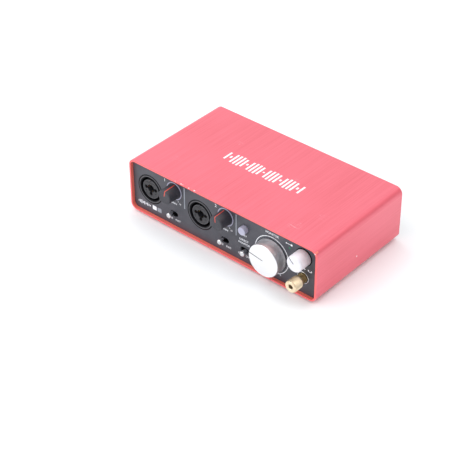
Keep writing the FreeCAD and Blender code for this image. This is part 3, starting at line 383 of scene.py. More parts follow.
# %% Sleeve: the brushed red
sleeve_low, sleeve_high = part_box("case_sleeve")
TOP, BASE = sleeve_high.z / MM, sleeve_low.z / MM
RIM, SIDE = sleeve_low.y / MM, sleeve_high.x / MM
RED_DARK, RED_LIGHT, RED_BLOTCH = (0.74, 0.115, 0.155), (0.85, 0.185, 0.235), (0.9, 0.2, 0.265)
sleeve, tree, shader = finish("brushed_red_anodising", Coat_Roughness=0.3, Coat_Weight=0.3)
hairs = noise(tree, coordinates(tree, (3200.0, 28.0, 3200.0)), 3.0, 0.65)
streaks = noise(tree, coordinates(tree, (850.0, 14.0, 850.0)), 3.0, 0.6)
blotches = noise(tree, coordinates(tree, (22.0, 14.0, 22.0)), 2.0)
lines = sums(tree, "ADD", product(tree, hairs, 0.45), product(tree, streaks, 0.55))
red = mix(tree, stretch(tree, lines, 0.3, 0.7), RED_DARK, RED_LIGHT)
red = mix(tree, product(tree, stretch(tree, blotches, 0.35, 0.7), 0.35), red, RED_BLOTCH)
print("sleeve: top at", round(TOP, 2), "rim at", round(RIM, 2))

# %% Sleeve: corners and rim
# The rounded long edges on the top are painted a darker, deeper red: painted shade where they turn
# away from the light. The rim, and the lip that shows in front of the panel, are painted the
# brightest red of all: painted light from the front lamps, also on the lip that the case itself
# shades.
RED_CORNER_PAINTED_SHADE, RED_LIP_PAINTED_LIGHT, RED_RIM_PAINTED_LIGHT = (0.74, 0.085, 0.12), (1.0, 0.2, 0.15), (1.0, 0.14, 0.15)
CORNER_FROM, CORNER_TO = 3.6, 1.2       # in from the faces
RIM_DEPTH, LIP_DEPTH, LIP_WALL = 0.25, 2.7, 1.2
across, back, up = axes(tree, (0.0, RIM, 0.0))
# Painted shade: the rounded top edges get a darker, deeper red.
corner = both(tree,
              stretch(tree, sums(tree, "ABSOLUTE", across), SIDE - CORNER_FROM, SIDE - CORNER_TO),
              stretch(tree, up, TOP - CORNER_FROM, TOP - CORNER_TO))
red = mix(tree, product(tree, corner, 0.75), red, RED_CORNER_PAINTED_SHADE)
# Painted light: the rim and the lip in front of the panel get a bright red.
rim_mask = stretch(tree, back, RIM_DEPTH, 2 * RIM_DEPTH, 1.0, 0.0)
lip_mask = both(tree, stretch(tree, back, LIP_DEPTH, LIP_DEPTH + 0.3, 1.0, 0.0),
                within(tree, across, 0.0, SIDE - LIP_WALL),
                within(tree, up, (TOP + BASE) / 2, (TOP - BASE) / 2 - LIP_WALL))
red = mix(tree, lip_mask, red, RED_LIP_PAINTED_LIGHT)
red = mix(tree, product(tree, rim_mask, 0.9), red, RED_RIM_PAINTED_LIGHT)
print("sleeve: lip", LIP_DEPTH, "mm deep")

# %% Sleeve: the printed mark on the top
MARK_WHITE = (0.93, 0.92, 0.94)
MARK_HALF, MARK_BACK = 36.0, 49.5       # half its width, and its middle line behind the rim
BAR_PITCH, BAR_HALF, BAR_SHORTEST = 3.1, 0.8, 0.7
SLOW_STEP, SLOW_REACH, QUICK_STEP, QUICK_REACH = 0.62, 4.2, 1.9, 2.2


def bar_wave(step, reach):
    """A wave over the bars' numbers: how much it adds to each bar's length."""
    wave = sums(tree, "ABSOLUTE", sums(tree, "SINE", product(tree, bar_number, step)))
    return product(tree, wave, reach)


bar_place = sums(tree, "DIVIDE", across, BAR_PITCH)
bar_phase = sums(tree, "FRACT", sums(tree, "ADD", bar_place, 50.5))
bar_number = sums(tree, "FLOOR", sums(tree, "ADD", bar_place, 0.5))
bar_mask = within(tree, bar_phase, 0.5, BAR_HALF / BAR_PITCH, 0.02)
bar_length = sums(tree, "ADD", bar_wave(SLOW_STEP, SLOW_REACH), bar_wave(QUICK_STEP, QUICK_REACH))
bar_reach = sums(tree, "SUBTRACT", sums(tree, "ADD", bar_length, BAR_SHORTEST),
                 sums(tree, "ABSOLUTE", sums(tree, "SUBTRACT", back, MARK_BACK)))
mark = both(tree, bar_mask, stretch(tree, bar_reach, -0.05, 0.05),
            within(tree, across, 0.0, MARK_HALF), stretch(tree, up, TOP - 0.3, TOP - 0.2))
red = mix(tree, mark, red, MARK_WHITE)
print("sleeve: mark", 2 * MARK_HALF, "mm wide")

# %% Sleeve: wear
RUBBED_PINK, BARE_METAL = (0.95, 0.62, 0.66), (0.93, 0.9, 0.9)
RUBS = [  # across, behind the rim, radius, strength: pale hair scratches on the top
    (57.0, 14.0, 6.0, 0.8), (55.0, 3.0, 2.2, 0.7), (23.0, 57.0, 4.0, 0.5),
    (-38.0, 68.0, 4.0, 0.4), (66.0, 34.0, 5.0, 0.35), (-60.0, 22.0, 5.0, 0.3)]
CHIPS = [  # across, behind the rim, height under the top, radius: bare metal at the edges
    (-41.2, 0.0, 0.0, 0.3), (-35.6, 0.1, 0.0, 0.5), (-33.9, 0.2, 0.0, 0.25),
    (-28.1, 0.0, 0.2, 0.4), (-23.0, 0.1, 0.0, 0.5), (-22.0, 0.4, 0.0, 0.2),
    (86.8, 21.0, 14.0, 0.5), (87.2, 46.0, 30.0, 0.6), (-87.0, 40.0, 2.0, 0.5),
    (85.5, 0.0, 2.4, 0.4)]
hair_line = place(tree, "ShaderNodeTexVoronoi",
                  {"Vector": coordinates(tree, (75.0, 620.0, 75.0)), "Scale": 1.0},
                  feature="DISTANCE_TO_EDGE").outputs["Distance"]
hair_line = stretch(tree, hair_line, 0.0, 0.03, 0.8, 0.0)
rubs = [stretch(tree, distance_from(tree, x, RIM + y, TOP), radius * 0.4, radius, strength, 0.0)
        for x, y, radius, strength in RUBS]
red = mix(tree, both(tree, either(tree, *rubs), hair_line), red, RUBBED_PINK)

grit = product(tree, noise(tree, coordinates(tree, (2500.0, 2500.0, 2500.0))), 0.5)
chips = []
for x, y, drop, radius in CHIPS:
    ragged = sums(tree, "ADD", distance_from(tree, x, RIM + y, TOP - drop), grit)
    chips.append(stretch(tree, ragged, radius + 0.2, radius + 0.35, 1.0, 0.0))
red = mix(tree, either(tree, *chips), red, BARE_METAL)
print("sleeve:", len(RUBS), "rubbed places and", len(CHIPS), "chips")

# %% Sleeve: join it up
roughness = stretch(tree, lines, 0.25, 0.75, 0.38, 0.52)
# Painted light: the rim and the lip get almost no metal, so their bright painted red shows.
bare = stretch(tree, either(tree, rim_mask, lip_mask), 0.0, 1.0, 0.5, 0.05)
feed(tree, shader, Base_Color=red, Metallic=bare, Roughness=mix_value(tree, mark, roughness, 0.6),
     Normal=bump(tree, lines, 0.00003, 0.35))
print("sleeve finish:", len(tree.nodes), "nodes")


# %% [markdown]
# ## Plain finishes
# The other parts take one of about twenty workshop finishes. One function makes moulded plastics,
# one makes rolled or plated metals, and one makes metal turned on a lathe, whose lines are rings
# about its axis: a noise of the radius and the depth alone draws them on faces and sides at once.

# %% Moulded plastic
DUST_GREY = (0.5, 0.49, 0.5)
GRAIN_DEPTH = 0.00002   # in metres


def moulded(name, dark, light, roughness, grain=5000.0, dust=0.0, **constants):
    """Moulded plastic: two near colours, fine grain in the surface, and a little dust."""
    material, tree, shader = finish(name, **constants)
    height = effect(tree, grain_group, Per_metre=grain)
    cloud = noise(tree, coordinates(tree, (120.0, 120.0, 120.0)), 2.0)
    colour = mix(tree, stretch(tree, cloud, 0.3, 0.7), dark, light)
    if dust:
        colour = mix(tree, effect(tree, dust_group, Amount=dust), colour, DUST_GREY)
    feed(tree, shader, Base_Color=colour, Normal=bump(tree, height, GRAIN_DEPTH, 0.6),
         Roughness=stretch(tree, height, 0.3, 0.7, roughness - 0.06, roughness + 0.06))
    return material


print("moulded plastic ready")

# %% Rolled and plated metal
TOOL_MARKS = (900.0, 60.0, 900.0)


def metal(name, dark, light, roughness):
    """Bare or plated metal with faint tool marks and thin scratches."""
    material, tree, shader = finish(name, Metallic=1.0)
    marks = noise(tree, coordinates(tree, TOOL_MARKS), 3.0, 0.6)
    scratches = effect(tree, scratch_group, Per_metre=160.0, Amount=0.5)
    colour = mix(tree, stretch(tree, marks, 0.3, 0.7), dark, light)
    colour = mix(tree, scratches, colour, light)
    feed(tree, shader, Base_Color=colour, Normal=bump(tree, marks, 0.00001, 0.5),
         Roughness=stretch(tree, marks, 0.3, 0.7, roughness - 0.07, roughness + 0.07))
    return material


print("plain metal ready")

# %% Turned metal
METAL_SHARE = 0.88      # the rest is the soft haze of many fine cuts
RINGS_PER_MM = 2.6
# SHADED_BRASS is painted shade: a darker brass for the collar deep between the barrel and the
# panel.
SHADED_BRASS, POINTER_BLACK = (0.62, 0.45, 0.20), (0.02, 0.02, 0.022)
POINTER_HALF, POINTER_START, POINTER_DEPTH = 0.29, 0.3, 1.3
POINTER_TURN = {"monitor_knob": -81.0, "headphone_knob": -46.0}


def middle_of(node):
    """The middle of a node's box, in millimetres."""
    low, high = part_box(node)
    return (low + high) / 2 / MM


def painted_line(tree, across, depth, up, angle):
    """A mask for the pointer's paint: a line on the face from near the axis outwards."""
    east, north = math.sin(math.radians(angle)), math.cos(math.radians(angle))
    along = sums(tree, "ADD", product(tree, across, east), product(tree, up, north))
    aside = sums(tree, "SUBTRACT", product(tree, across, north), product(tree, up, east))
    return both(tree, within(tree, aside, 0.0, POINTER_HALF, 0.03),
                stretch(tree, along, POINTER_START, POINTER_START + 0.1),
                stretch(tree, depth, POINTER_DEPTH, POINTER_DEPTH + 0.2, 1.0, 0.0))


def turned_metal(name, node, dark, light, roughness, pointer=False, bright_to=None,
                 share=METAL_SHARE):
    """Metal turned about the axis of a node, with or without its painted pointer. Behind the depth
    bright_to, in millimetres, it is painted a darker brass: painted shade where it sits deep by the
    panel."""
    material, tree, shader = finish(name)
    centre, front = middle_of(node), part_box(node)[0].y / MM
    across, depth, up = axes(tree, (centre.x, front, centre.z))
    radius = sums(tree, "SQRT", sums(tree, "ADD", product(tree, across, across),
                                     product(tree, up, up)))
    rings = place(tree, "ShaderNodeCombineXYZ", {0: product(tree, radius, RINGS_PER_MM),
                                                 1: product(tree, depth, RINGS_PER_MM)}).outputs[0]
    cuts = noise(tree, rings, 2.0, 0.5)
    slow = noise(tree, coordinates(tree, (90.0, 90.0, 90.0)), 2.0)
    colour = mix(tree, stretch(tree, cuts, 0.35, 0.65), dark, light)
    colour = mix(tree, product(tree, slow, 0.2), colour, dark)
    # Painted shade: behind bright_to the colour turns to the darker brass.
    if bright_to:
        shaded = stretch(tree, depth, bright_to - 0.1, bright_to + 0.1)
        colour = mix(tree, shaded, colour, SHADED_BRASS)
    shine = stretch(tree, cuts, 0.3, 0.7, roughness - 0.05, roughness + 0.05)
    if pointer:
        paint = painted_line(tree, across, depth, up, POINTER_TURN[node])
        colour = mix(tree, paint, colour, POINTER_BLACK)
        shine = mix_value(tree, paint, shine, 0.6)
        feed(tree, shader, Metallic=stretch(tree, paint, 0.0, 1.0, share, 0.0))
    else:
        shader.inputs["Metallic"].default_value = share
    feed(tree, shader, Base_Color=colour, Normal=bump(tree, cuts, 0.000006, 0.2), Roughness=shine)
    return material


print("turned metal ready")

# %% The plastics, rubbers, boards and inks
fascia_black = moulded("satin_black_panel", (0.052, 0.052, 0.066), (0.070, 0.070, 0.086), 0.4,
                       grain=6000.0, dust=0.25)
housing_black = moulded("black_moulding", (0.006, 0.006, 0.008), (0.011, 0.011, 0.013), 0.5,
                        Specular_IOR_Level=0.12)
core_grey = moulded("grey_jack_core", (0.018, 0.018, 0.022), (0.028, 0.028, 0.033), 0.42, dust=0.3)
grey_ring_and_painted_highlight = moulded("grey_ring_and_painted_highlight", (0.05, 0.05, 0.058), (0.075, 0.075, 0.085), 0.35, dust=0.2)
knob_black = moulded("soft_touch_black", (0.030, 0.030, 0.039), (0.046, 0.046, 0.058), 0.5,
                     grain=9000.0, dust=0.2)
pointer_red = moulded("pointer_red", (0.60, 0.055, 0.035), (0.72, 0.085, 0.05), 0.4)
frosted = moulded("frosted_diffuser", (0.42, 0.41, 0.56), (0.50, 0.49, 0.64), 0.35, grain=2500.0)
button_clear = moulded("frosted_button", (0.42, 0.42, 0.55), (0.5, 0.5, 0.62), 0.3, grain=2500.0)
foot_rubber = moulded("foot_rubber", (0.015, 0.015, 0.016), (0.03, 0.03, 0.03), 0.8)
board_green = moulded("solder_mask", (0.01, 0.10, 0.04), (0.02, 0.16, 0.07), 0.35)
package_black = moulded("chip_package", (0.02, 0.02, 0.022), (0.035, 0.035, 0.038), 0.5)
print_white = moulded("printed_white", (0.82, 0.84, 0.90), (0.95, 0.96, 1.0), 0.5, grain=8000.0)
print_grey = moulded("printed_grey", (0.27, 0.29, 0.34), (0.36, 0.38, 0.43), 0.5, grain=8000.0)
lamp_green = moulded("green_lens", (0.03, 0.16, 0.10), (0.05, 0.24, 0.15), 0.3, grain=2500.0)
print("moulded finishes made")

# %% The metals
plated_steel = metal("plated_steel", (0.45, 0.46, 0.48), (0.62, 0.63, 0.65), 0.32)
nickel = metal("nickel_plate", (0.60, 0.60, 0.62), (0.80, 0.80, 0.82), 0.22)
gilt = metal("gilt_brass", (0.62, 0.40, 0.13), (0.86, 0.62, 0.28), 0.3)
silver = metal("turned_aluminium", (0.80, 0.80, 0.82), (0.95, 0.95, 0.96), 0.3)
monitor_cap = turned_metal("monitor_cap_aluminium", "monitor_knob", (0.86, 0.86, 0.88),
                           (0.95, 0.95, 0.96), 0.34, pointer=True)
phones_cap = turned_metal("headphone_cap_aluminium", "headphone_knob", (0.80, 0.79, 0.84),
                          (0.88, 0.87, 0.92), 0.6, pointer=True, share=0.45)
# The collar behind 9.4 mm gets painted shade.
pale_brass = turned_metal("knurled_pale_brass", "adapter_barrel", (0.80, 0.64, 0.42),
                          (0.92, 0.80, 0.60), 0.34, bright_to=9.4)
print("metals made")

# %% Dress the parts
FINISHES = {
    "red_sleeve": sleeve, "black_fascia": fascia_black, "black_plastic": housing_black,
    "grey_plastic": core_grey, "soft_knob": knob_black, "pointer": pointer_red,
    "silver_knob": silver, "steel": plated_steel, "nickel": nickel, "gilt_brass": gilt,
    "clear_diffuser": frosted, "circuit_board": board_green, "component": package_black,
    "foot_rubber": foot_rubber,
}
SPECIAL = {"monitor_knob": monitor_cap, "headphone_knob": phones_cap, "usb_light_pipe": lamp_green,
           "phantom_button": button_clear}


def dress(thing, material):
    """Give an object one material."""
    thing.data.materials.clear()
    thing.data.materials.append(material)


for part in frame["record"]["subparts"]:
    dress(nodes[part["node"]], SPECIAL.get(part["node"], FINISHES[part["material_slot"]]))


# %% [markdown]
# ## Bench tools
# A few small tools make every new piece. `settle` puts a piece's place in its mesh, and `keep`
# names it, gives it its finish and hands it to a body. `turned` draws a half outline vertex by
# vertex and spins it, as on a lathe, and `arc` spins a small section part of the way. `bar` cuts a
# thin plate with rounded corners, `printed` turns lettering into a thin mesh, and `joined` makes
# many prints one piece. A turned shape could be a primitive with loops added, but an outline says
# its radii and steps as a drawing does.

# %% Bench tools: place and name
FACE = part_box("front_fascia")[0].y / MM
INK = 0.03              # thickness of printed ink, in millimetres
INK_LOW, INK_HIGH = FACE - INK / 2, FACE + INK / 2
WELD = 0.000002         # points closer than this are one, in metres
LETTER_WELD = 0.0000005


def fresh():
    """Nothing selected, in object mode."""
    if bpy.context.mode != "OBJECT":
        bpy.ops.object.mode_set(mode="OBJECT")
    bpy.ops.object.select_all(action="DESELECT")


def settle(piece, x, y, z, turn=(0.0, 0.0, 0.0)):
    """Turn and move a piece, in degrees and millimetres, and put its place in its mesh."""
    fresh()
    piece.select_set(True)
    bpy.context.view_layer.objects.active = piece
    piece.rotation_mode = "XYZ"
    piece.rotation_euler = [math.radians(value) for value in turn]
    piece.location = Vector((x, y, z)) * MM
    bpy.ops.object.transform_apply(location=True, rotation=True, scale=True)
    return piece


def keep(piece, name, body, material):
    """Name a finished piece, give it its finish and tie it to its body."""
    piece.name = piece.data.name = name
    dress(piece, material)
    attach(piece, body)
    return piece


print("front panel at y =", round(FACE, 2))


# %% Bench tools: the lathe
def turned(outline, x, z, steps):
    """Spin (radius, y) points about the line along Y through x, z; all in millimetres."""
    fresh()
    bpy.ops.mesh.primitive_plane_add(size=MM)
    piece = bpy.context.active_object
    bpy.ops.object.mode_set(mode="EDIT")
    bpy.ops.mesh.select_all(action="SELECT")
    bpy.ops.mesh.merge(type="CENTER")
    bpy.ops.transform.translate(value=(outline[0][0] * MM, outline[0][1] * MM, 0.0))
    for (radius, y), (next_radius, next_y) in zip(outline, outline[1:]):
        step = ((next_radius - radius) * MM, (next_y - y) * MM, 0.0)
        bpy.ops.mesh.extrude_region_move(TRANSFORM_OT_translate={"value": step})
    bpy.ops.mesh.select_all(action="SELECT")
    bpy.ops.mesh.spin(steps=steps, angle=math.tau, center=(0, 0, 0), axis=(0, 1, 0))
    bpy.ops.mesh.select_all(action="SELECT")
    bpy.ops.mesh.remove_doubles(threshold=WELD)
    bpy.ops.mesh.normals_make_consistent(inside=False)
    bpy.ops.object.mode_set(mode="OBJECT")
    return settle(piece, x, 0.0, z)


def turned_on(face, outline, x, z, steps):
    """Turn an outline with depths measured from a face; a negative depth stands proud of it."""
    return turned([(radius, face + depth) for radius, depth in outline], x, z, steps)


def arc(x, z, inner, outer, start, sweep, steps):
    """A printed ring or part of one: a small section spun clockwise from the angle start."""
    fresh()
    bpy.ops.mesh.primitive_plane_add(size=MM)
    piece = bpy.context.active_object
    bpy.ops.object.mode_set(mode="EDIT")
    middle = ((outer + inner) / 2 * MM, (INK_HIGH + INK_LOW) / 2 * MM, 0.0)
    bpy.ops.mesh.select_all(action="SELECT")
    bpy.ops.transform.resize(value=(outer - inner, INK_HIGH - INK_LOW, 1.0))
    bpy.ops.transform.translate(value=middle)
    bpy.ops.mesh.spin(steps=steps, angle=math.radians(sweep), center=(0, 0, 0), axis=(0, 1, 0))
    bpy.ops.mesh.select_all(action="SELECT")
    bpy.ops.mesh.remove_doubles(threshold=WELD)
    bpy.ops.mesh.normals_make_consistent(inside=False)
    bpy.ops.object.mode_set(mode="OBJECT")
    return settle(piece, x, 0.0, z, (0.0, start - 90.0, 0.0))


print("lathe ready")


# %% Bench tools: printing
DRAWN_SIZE = 0.003      # of letters before they are resized, in metres
INK_SPREAD = 0.00003    # ink runs a little past the letters' outlines, in metres
CORNER_STEPS = 3


def bar(x, z, width, height, y=None, corner=0.25, lean=0.0):
    """A thin printed bar with round corners, facing the front; lean turns it clockwise."""
    fresh()
    bpy.ops.mesh.primitive_plane_add(size=MM)
    piece = bpy.context.active_object
    bpy.ops.object.mode_set(mode="EDIT")
    bpy.ops.mesh.select_all(action="SELECT")
    bpy.ops.transform.resize(value=(width, height, 1.0))
    bpy.ops.mesh.bevel(offset=min(corner, width * 0.45, height * 0.45) * MM,
                       segments=CORNER_STEPS, affect="VERTICES")
    bpy.ops.mesh.select_all(action="SELECT")
    bpy.ops.mesh.extrude_region_move(TRANSFORM_OT_translate={"value": (0.0, 0.0, INK * MM)})
    bpy.ops.mesh.select_all(action="SELECT")
    bpy.ops.mesh.normals_make_consistent(inside=False)
    bpy.ops.object.mode_set(mode="OBJECT")
    return settle(piece, x, FACE if y is None else y, z, (90.0, lean, 0.0))


def printed(words, x, z, height, width=None, y=None, about=0.0):
    """Lettering as a thin mesh, centred on x, z; about turns it round Z to face another way."""
    fresh()
    bpy.ops.object.text_add()
    piece = bpy.context.active_object
    piece.data.body = words
    piece.data.align_x, piece.data.align_y = "CENTER", "CENTER"
    piece.data.size = DRAWN_SIZE
    piece.data.resolution_u = 3
    piece.data.extrude = INK / 2 * MM
    piece.data.offset = INK_SPREAD
    bpy.ops.object.convert(target="MESH")
    piece = bpy.context.active_object
    bpy.ops.object.mode_set(mode="EDIT")
    bpy.ops.mesh.select_all(action="SELECT")
    bpy.ops.mesh.remove_doubles(threshold=LETTER_WELD)
    tall = height * MM / piece.dimensions.y
    wide = tall if width is None else width * MM / piece.dimensions.x
    bpy.ops.transform.resize(value=(wide, tall, 1.0), center_override=(0, 0, 0))
    bpy.ops.object.mode_set(mode="OBJECT")
    return settle(piece, x, FACE if y is None else y, z, (90.0, 0.0, about))


def joined(parts):
    """Several prints made one piece."""
    fresh()
    for part in parts:
        part.select_set(True)
    bpy.context.view_layer.objects.active = parts[0]
    bpy.ops.object.join()
    return bpy.context.active_object


print("printing tools ready")


# %% [markdown]
# ## Printing on the front panel
# Everything here is ink on the fascia: a name for each control, numbers, two dividing lines, and
# the scale round the monitor knob. Ink could be a pattern in the fascia's material, but letters
# stay sharper as thin pieces. Places are measured from the control that each print belongs to.

# %% Prints for the two channels
SWITCH_WORDS, BADGE_LINE = BASE + 7.1, BASE + 7.9       # heights of rows low on the panel
SLOT_FROM_LEVER = 4.4       # from the lever's left side to the middle of its slot
TICK_ASIDE, TICK_DROP, TICK_LEAN = 3.9, 7.6, 30.0
white_prints, grey_prints = [], []
for channel in ("1", "2"):
    knob = middle_of(f"gain_knob_{channel}")
    slot_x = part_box(f"instrument_switch_{channel}_lever")[0].x / MM + SLOT_FROM_LEVER
    white_prints += [
        printed(channel, knob.x - 9.0, knob.z + 5.7, 2.5),
        printed("GAIN", knob.x - 0.9, knob.z - 10.8, 1.6, 6.6),
        printed("0", knob.x - 7.0, knob.z - 9.0, 1.4),
        printed("10", knob.x + 5.6, knob.z - 9.2, 1.4),
        bar(knob.x + TICK_ASIDE, knob.z - TICK_DROP, 0.3, 1.3, lean=-TICK_LEAN),
        bar(knob.x - TICK_ASIDE, knob.z - TICK_DROP, 0.3, 1.3, lean=TICK_LEAN),
        printed("LINE", slot_x - 3.9, SWITCH_WORDS, 1.5, 4.9),
        printed("INST", slot_x + 3.6, SWITCH_WORDS, 1.5, 4.9),
    ]
print("channel prints:", len(white_prints))

# %% Dividing lines
DIVIDER_MIDDLE, DIVIDER_HEIGHT = BASE + 30.3, 18.2
for x, width in ((-35.1, 1.0), (13.9, 0.8)):
    grey_prints.append(bar(x, DIVIDER_MIDDLE, width, DIVIDER_HEIGHT))
print("dividing lines:", len(grey_prints))

# %% Prints for the master section
OFF_WORDS = BASE + 7.2
SCALE_INNER, SCALE_OUTER, SCALE_TICKS, SCALE_HALF = 14.65, 15.15, 15.8, 150.0
monitor, phantom = middle_of("monitor_knob"), middle_of("phantom_button")
phones, barrel = middle_of("headphone_knob"), middle_of("adapter_barrel")
white_prints += [
    printed("48V", phantom.x, phantom.z - 5.6, 1.5, 4.2),
    printed("DIRECT", phantom.x - 0.6, BASE + 20.2, 1.6, 8.2),
    printed("MONITOR", phantom.x - 0.4, BASE + 17.4, 1.6, 10.6),
    printed("OFF", phantom.x - 4.0, OFF_WORDS, 1.5, 3.8),
    printed("ON", phantom.x + 2.9, OFF_WORDS, 1.5, 2.9),
    printed("MONITOR", monitor.x, monitor.z + 17.6, 1.7, 11.6),
    arc(monitor.x, monitor.z, SCALE_INNER, SCALE_OUTER, -SCALE_HALF, 2 * SCALE_HALF, 90),
]
for side in (-1, 1):
    lean = math.radians(SCALE_HALF * side)
    white_prints.append(bar(monitor.x + SCALE_TICKS * math.sin(lean),
                            monitor.z + SCALE_TICKS * math.cos(lean),
                            0.5, 1.9, lean=SCALE_HALF * side))
print("white prints so far:", len(white_prints))

# %% Pictograms
# A plug beside the power lamp, and a headphone with a plus sign by the socket.
lamp_at = middle_of("usb_light_pipe")
PLUG_LINE, BAND_LINE, CUP_LINE, PLUS_LINE = lamp_at.z + 3.1, BASE + 23.2, BASE + 22.8, BASE + 22.6
white_prints += [
    bar(lamp_at.x - 1.0, PLUG_LINE, 3.4, 0.4),
    bar(lamp_at.x + 1.6, PLUG_LINE, 1.6, 1.5),
    bar(lamp_at.x - 2.9, PLUG_LINE, 1.1, 1.1, corner=0.5),
    arc(phones.x + 5.6, BAND_LINE, 1.1, 1.5, -90.0, 180.0, 24),
    bar(phones.x + 4.3, CUP_LINE, 0.8, 1.4),
    bar(phones.x + 6.9, CUP_LINE, 0.8, 1.4),
    bar(phones.x + 1.1, PLUS_LINE, 1.6, 0.5),
    bar(phones.x + 1.1, PLUS_LINE, 0.5, 1.6),
]
print("white prints so far:", len(white_prints))

# %% Plain marks at the left
BADGE_BARS = (1.4, 2.4, 3.4, 2.0, 3.0, 1.6, 2.6, 1.8, 1.2)      # their heights
BADGE_START, BADGE_PITCH, SQUARE_WIDTH, SQUARE_HEIGHT = -81.6, 1.45, 4.0, 3.6
for index, height in enumerate(BADGE_BARS):
    badge_x = BADGE_START + index * BADGE_PITCH
    white_prints.append(bar(badge_x, BADGE_LINE, 0.75, height, corner=0.2))
white_prints.append(bar(-65.6, BADGE_LINE, SQUARE_WIDTH, SQUARE_HEIGHT, corner=0.6))
grey_prints.append(bar(-60.7, BADGE_LINE, SQUARE_WIDTH, SQUARE_HEIGHT, corner=0.6))
white_print = keep(joined(white_prints), "front_printing", "chassis",
                   print_white)
grey_print = keep(joined(grey_prints), "front_dividers", "chassis",
                  print_grey)
print("front prints:", len(white_print.data.polygons) + len(grey_print.data.polygons), "faces")

# %% [markdown]
# ## Trims round the jacks
# Each combined jack has a raised grey ring near its edge, which is a painted highlight: the light
# on the rounded edge of the jack's black flange. Outside it a black ring is painted shadow, for the
# dark gap round the flange. There is a finer ring where the well starts, and a black latch that
# shows at the top of the well. The rings are turned as thin pieces that stand just proud of the
# housing, and the latch is a block with its edges rounded off. Cut into one mesh they would all
# need the same finish; as separate pieces each takes its own.

# %% Rings of the jacks
# Each outline is a list of (radius, depth); see turned_on.
# Painted highlight: a grey ring where the light catches the rounded edge of the flange.
JACK_PAINTED_HIGHLIGHT_RING = [(10.35, 0.2), (10.35, -0.12), (10.5, -0.25), (11.1, -0.25), (11.3, -0.1), (11.3, 0.2),
             (10.35, 0.2)]
# Painted shadow: a black ring in the dark gap round the flange.
JACK_GAP_SHADOW_RING = [(11.5, 0.2), (11.5, -0.08), (12.2, -0.08), (12.2, 0.2), (11.5, 0.2)]
CORE_EDGE = [(7.2, 0.2), (7.2, -0.1), (7.3, -0.18), (7.6, -0.18), (7.75, -0.05), (7.75, 0.2),
             (7.2, 0.2)]
RING_STEPS, EDGE_STEPS = 96, 80
LATCH_SIZE, LATCH_EDGE, LATCH_DEPTH, LATCH_RISE = (6.4, 2.2, 1.9), 0.45, 2.4, 9.5


def jack_ring(name, jack, face, outline, steps, material):
    """A ring about the axis of a jack, seated on a face of it."""
    keep(turned_on(face, outline, jack.x, jack.z, steps), name, "chassis", material)


def jack_latch(name, jack, face):
    """The latch: a small block with rounded edges above a jack's core."""
    fresh()
    bpy.ops.mesh.primitive_cube_add(size=MM)
    latch = bpy.context.active_object
    bpy.ops.object.mode_set(mode="EDIT")
    bpy.ops.mesh.select_all(action="SELECT")
    bpy.ops.transform.resize(value=LATCH_SIZE)
    bpy.ops.mesh.bevel(offset=LATCH_EDGE * MM, segments=3)
    bpy.ops.object.mode_set(mode="OBJECT")
    settle(latch, jack.x, face + LATCH_DEPTH, jack.z + LATCH_RISE)
    keep(latch, name, "chassis", housing_black)


for channel in ("1", "2"):
    jack = middle_of(f"input_jack_{channel}_core")
    shell_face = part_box(f"input_jack_{channel}_shell")[0].y / MM
    core_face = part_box(f"input_jack_{channel}_core")[0].y / MM
    jack_ring(f"jack_painted_highlight_{channel}", jack, shell_face, JACK_PAINTED_HIGHLIGHT_RING, RING_STEPS,
              grey_ring_and_painted_highlight)
    jack_ring(f"jack_gap_shadow_{channel}", jack, shell_face, JACK_GAP_SHADOW_RING, RING_STEPS,
              housing_black)
    jack_ring(f"core_edge_{channel}", jack, core_face, CORE_EDGE, EDGE_STEPS,
              grey_ring_and_painted_highlight)
    jack_latch(f"jack_latch_{channel}", jack, shell_face)
print("jack trims: rings", JACK_GAP_SHADOW_RING[0][0] * 2, "mm across and a latch each")

# %% [markdown]
# ## The knurled adapter
# The adapter's barrel is cut with a diamond knurl for grip. It is turned with many rows, and then
# every second crossing, like the black squares of a chessboard, is pulled outwards. The plain
# bands at both ends, the mouth and the collar stay as turned. It stands for the model's plain
# barrel.

# %% The barrel as turned
low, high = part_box("adapter_barrel")
END, SEAT = low.y / MM, high.y / MM
BORE, GRIP, PEAK, NECK, COLLAR = 1.8, 4.5, 4.78, 4.1, 3.85      # radii
LENGTH, BORE_DEPTH = 8.8, 6.0
KNURL_ROWS, KNURL_STEPS = 18, 60
grip_low, grip_high = END + 0.9, END + LENGTH - 0.6
mouth = [(BORE, END + BORE_DEPTH), (BORE, END + 0.5), (2.1, END + 0.15), (2.5, END), (NECK, END),
         (4.45, END + 0.3), (GRIP, END + 0.7)]
rows = [(GRIP, grip_low + (grip_high - grip_low) * index / KNURL_ROWS)
        for index in range(KNURL_ROWS + 1)]
heel = [(4.45, END + LENGTH - 0.25), (NECK, END + LENGTH), (COLLAR, END + LENGTH),
        (COLLAR, END + LENGTH + 2.2), (3.7, END + LENGTH + 2.35), (3.7, SEAT), (BORE, SEAT),
        (BORE, END + BORE_DEPTH)]
knurled = turned(mouth + rows + heel, barrel.x, barrel.z, KNURL_STEPS)
print("turned barrel:", len(knurled.data.polygons), "faces")

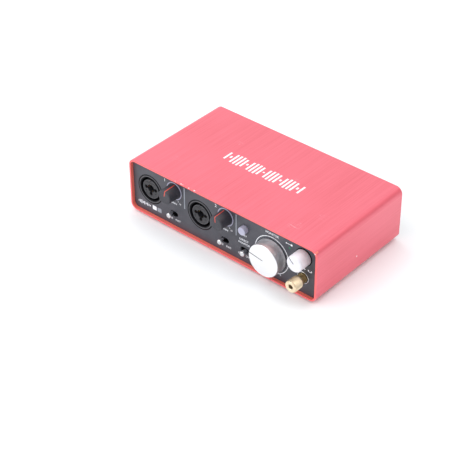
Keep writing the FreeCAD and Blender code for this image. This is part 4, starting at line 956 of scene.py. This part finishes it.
# %% The diamond knurl
step_y, step_turn = (grip_high - grip_low) / KNURL_ROWS, math.tau / KNURL_STEPS
fresh()
knurled.select_set(True)
bpy.context.view_layer.objects.active = knurled
for vertex in knurled.data.vertices:
    x, y, z = vertex.co / MM - Vector((barrel.x, 0.0, barrel.z))
    row, column = round((y - grip_low) / step_y), round(math.atan2(z, x) / step_turn)
    on_row = abs(y - grip_low - row * step_y) < 0.01 and 0 < row < KNURL_ROWS
    vertex.select = on_row and abs(math.hypot(x, z) - GRIP) < 0.02 and (row + column) % 2 == 0
for thing in (*knurled.data.edges, *knurled.data.polygons):
    thing.select = False
print("points pulled outwards:", sum(vertex.select for vertex in knurled.data.vertices))
bpy.ops.object.mode_set(mode="EDIT")
bpy.ops.mesh.select_mode(type="VERT")
bpy.ops.transform.resize(value=(PEAK / GRIP, 1.0, PEAK / GRIP),
                         center_override=(barrel.x * MM, 0.0, barrel.z * MM))
bpy.ops.object.mode_set(mode="OBJECT")
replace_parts(keep(knurled, "knurled_adapter_barrel", "adapter_plug", pale_brass),
            "adapter_barrel")

# %% [markdown]
# ## Two rings on the panel
# The headphone socket is held by a thin nickel ring. Under the headphone knob a black ring is
# painted shadow: the dark line of the gap between the knob and the panel. Both are turned from
# short outlines, like the jack rings, because a torus or a disc would have no flat front and no
# chamfers.

# %% Ring round the headphone socket and painted shadow ring under its knob
SOCKET_RING = [(4.35, 0.3), (4.35, -0.35), (4.45, -0.45), (4.75, -0.45), (4.9, -0.3), (4.9, 0.3),
               (4.35, 0.3)]
# Painted shadow: a black ring for the dark gap between the headphone knob and the panel.
KNOB_SHADOW_RING = [(4.0, 0.1), (4.0, -0.25), (6.9, -0.25), (7.1, -0.1), (7.1, 0.1), (4.0, 0.1)]
SMALL_RING_STEPS = 72
keep(turned_on(FACE, SOCKET_RING, barrel.x, barrel.z, SMALL_RING_STEPS),
     "socket_ring", "chassis", nickel)
keep(turned_on(FACE, KNOB_SHADOW_RING, phones.x, phones.z, SMALL_RING_STEPS),
     "headphone_knob_shadow_ring", "chassis", housing_black)
print("rings:", SOCKET_RING[3][0] * 2, "and", KNOB_SHADOW_RING[3][0] * 2, "mm across")

# %% [markdown]
# ## Printing on the rear panel
# The back carries a few plain prints too: which output is left and which is right, a line over
# the pair, the voltage over the square socket, and a dot over the lock slot. They face backwards,
# so the letters are turned half round about Z. The bars look the same from both sides, so they
# only move back by their own thickness.

# %% Rear prints
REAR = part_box("rear_panel")[1].y / MM
VOLTS, LETTERS, DOT = BASE + 23.4, BASE + 26.4, BASE + 28.0     # heights of the rows
RULE, HEADING = BASE + 30.2, BASE + 32.6
left_x, right_x = (middle_of(f"line_output_{number}").x for number in (1, 2))
outputs_middle = (left_x + right_x) / 2
rear_prints = [
    printed("L", left_x, LETTERS, 2.0, y=REAR, about=180.0),
    printed("R", right_x, LETTERS, 2.0, y=REAR, about=180.0),
    printed("LINE OUTPUTS", outputs_middle, HEADING, 1.9, y=REAR, about=180.0),
    bar(outputs_middle, RULE, 32.0, 0.4, y=REAR + INK),
    printed("5V", middle_of("usb_socket_shell").x, VOLTS, 1.7, y=REAR, about=180.0),
    bar(middle_of("lock_slot_plate").x, DOT, 0.9, 0.9, y=REAR + INK, corner=0.45),
]
keep(joined(rear_prints), "rear_printing", "chassis", print_white)
print("rear panel at y =", round(REAR, 2))
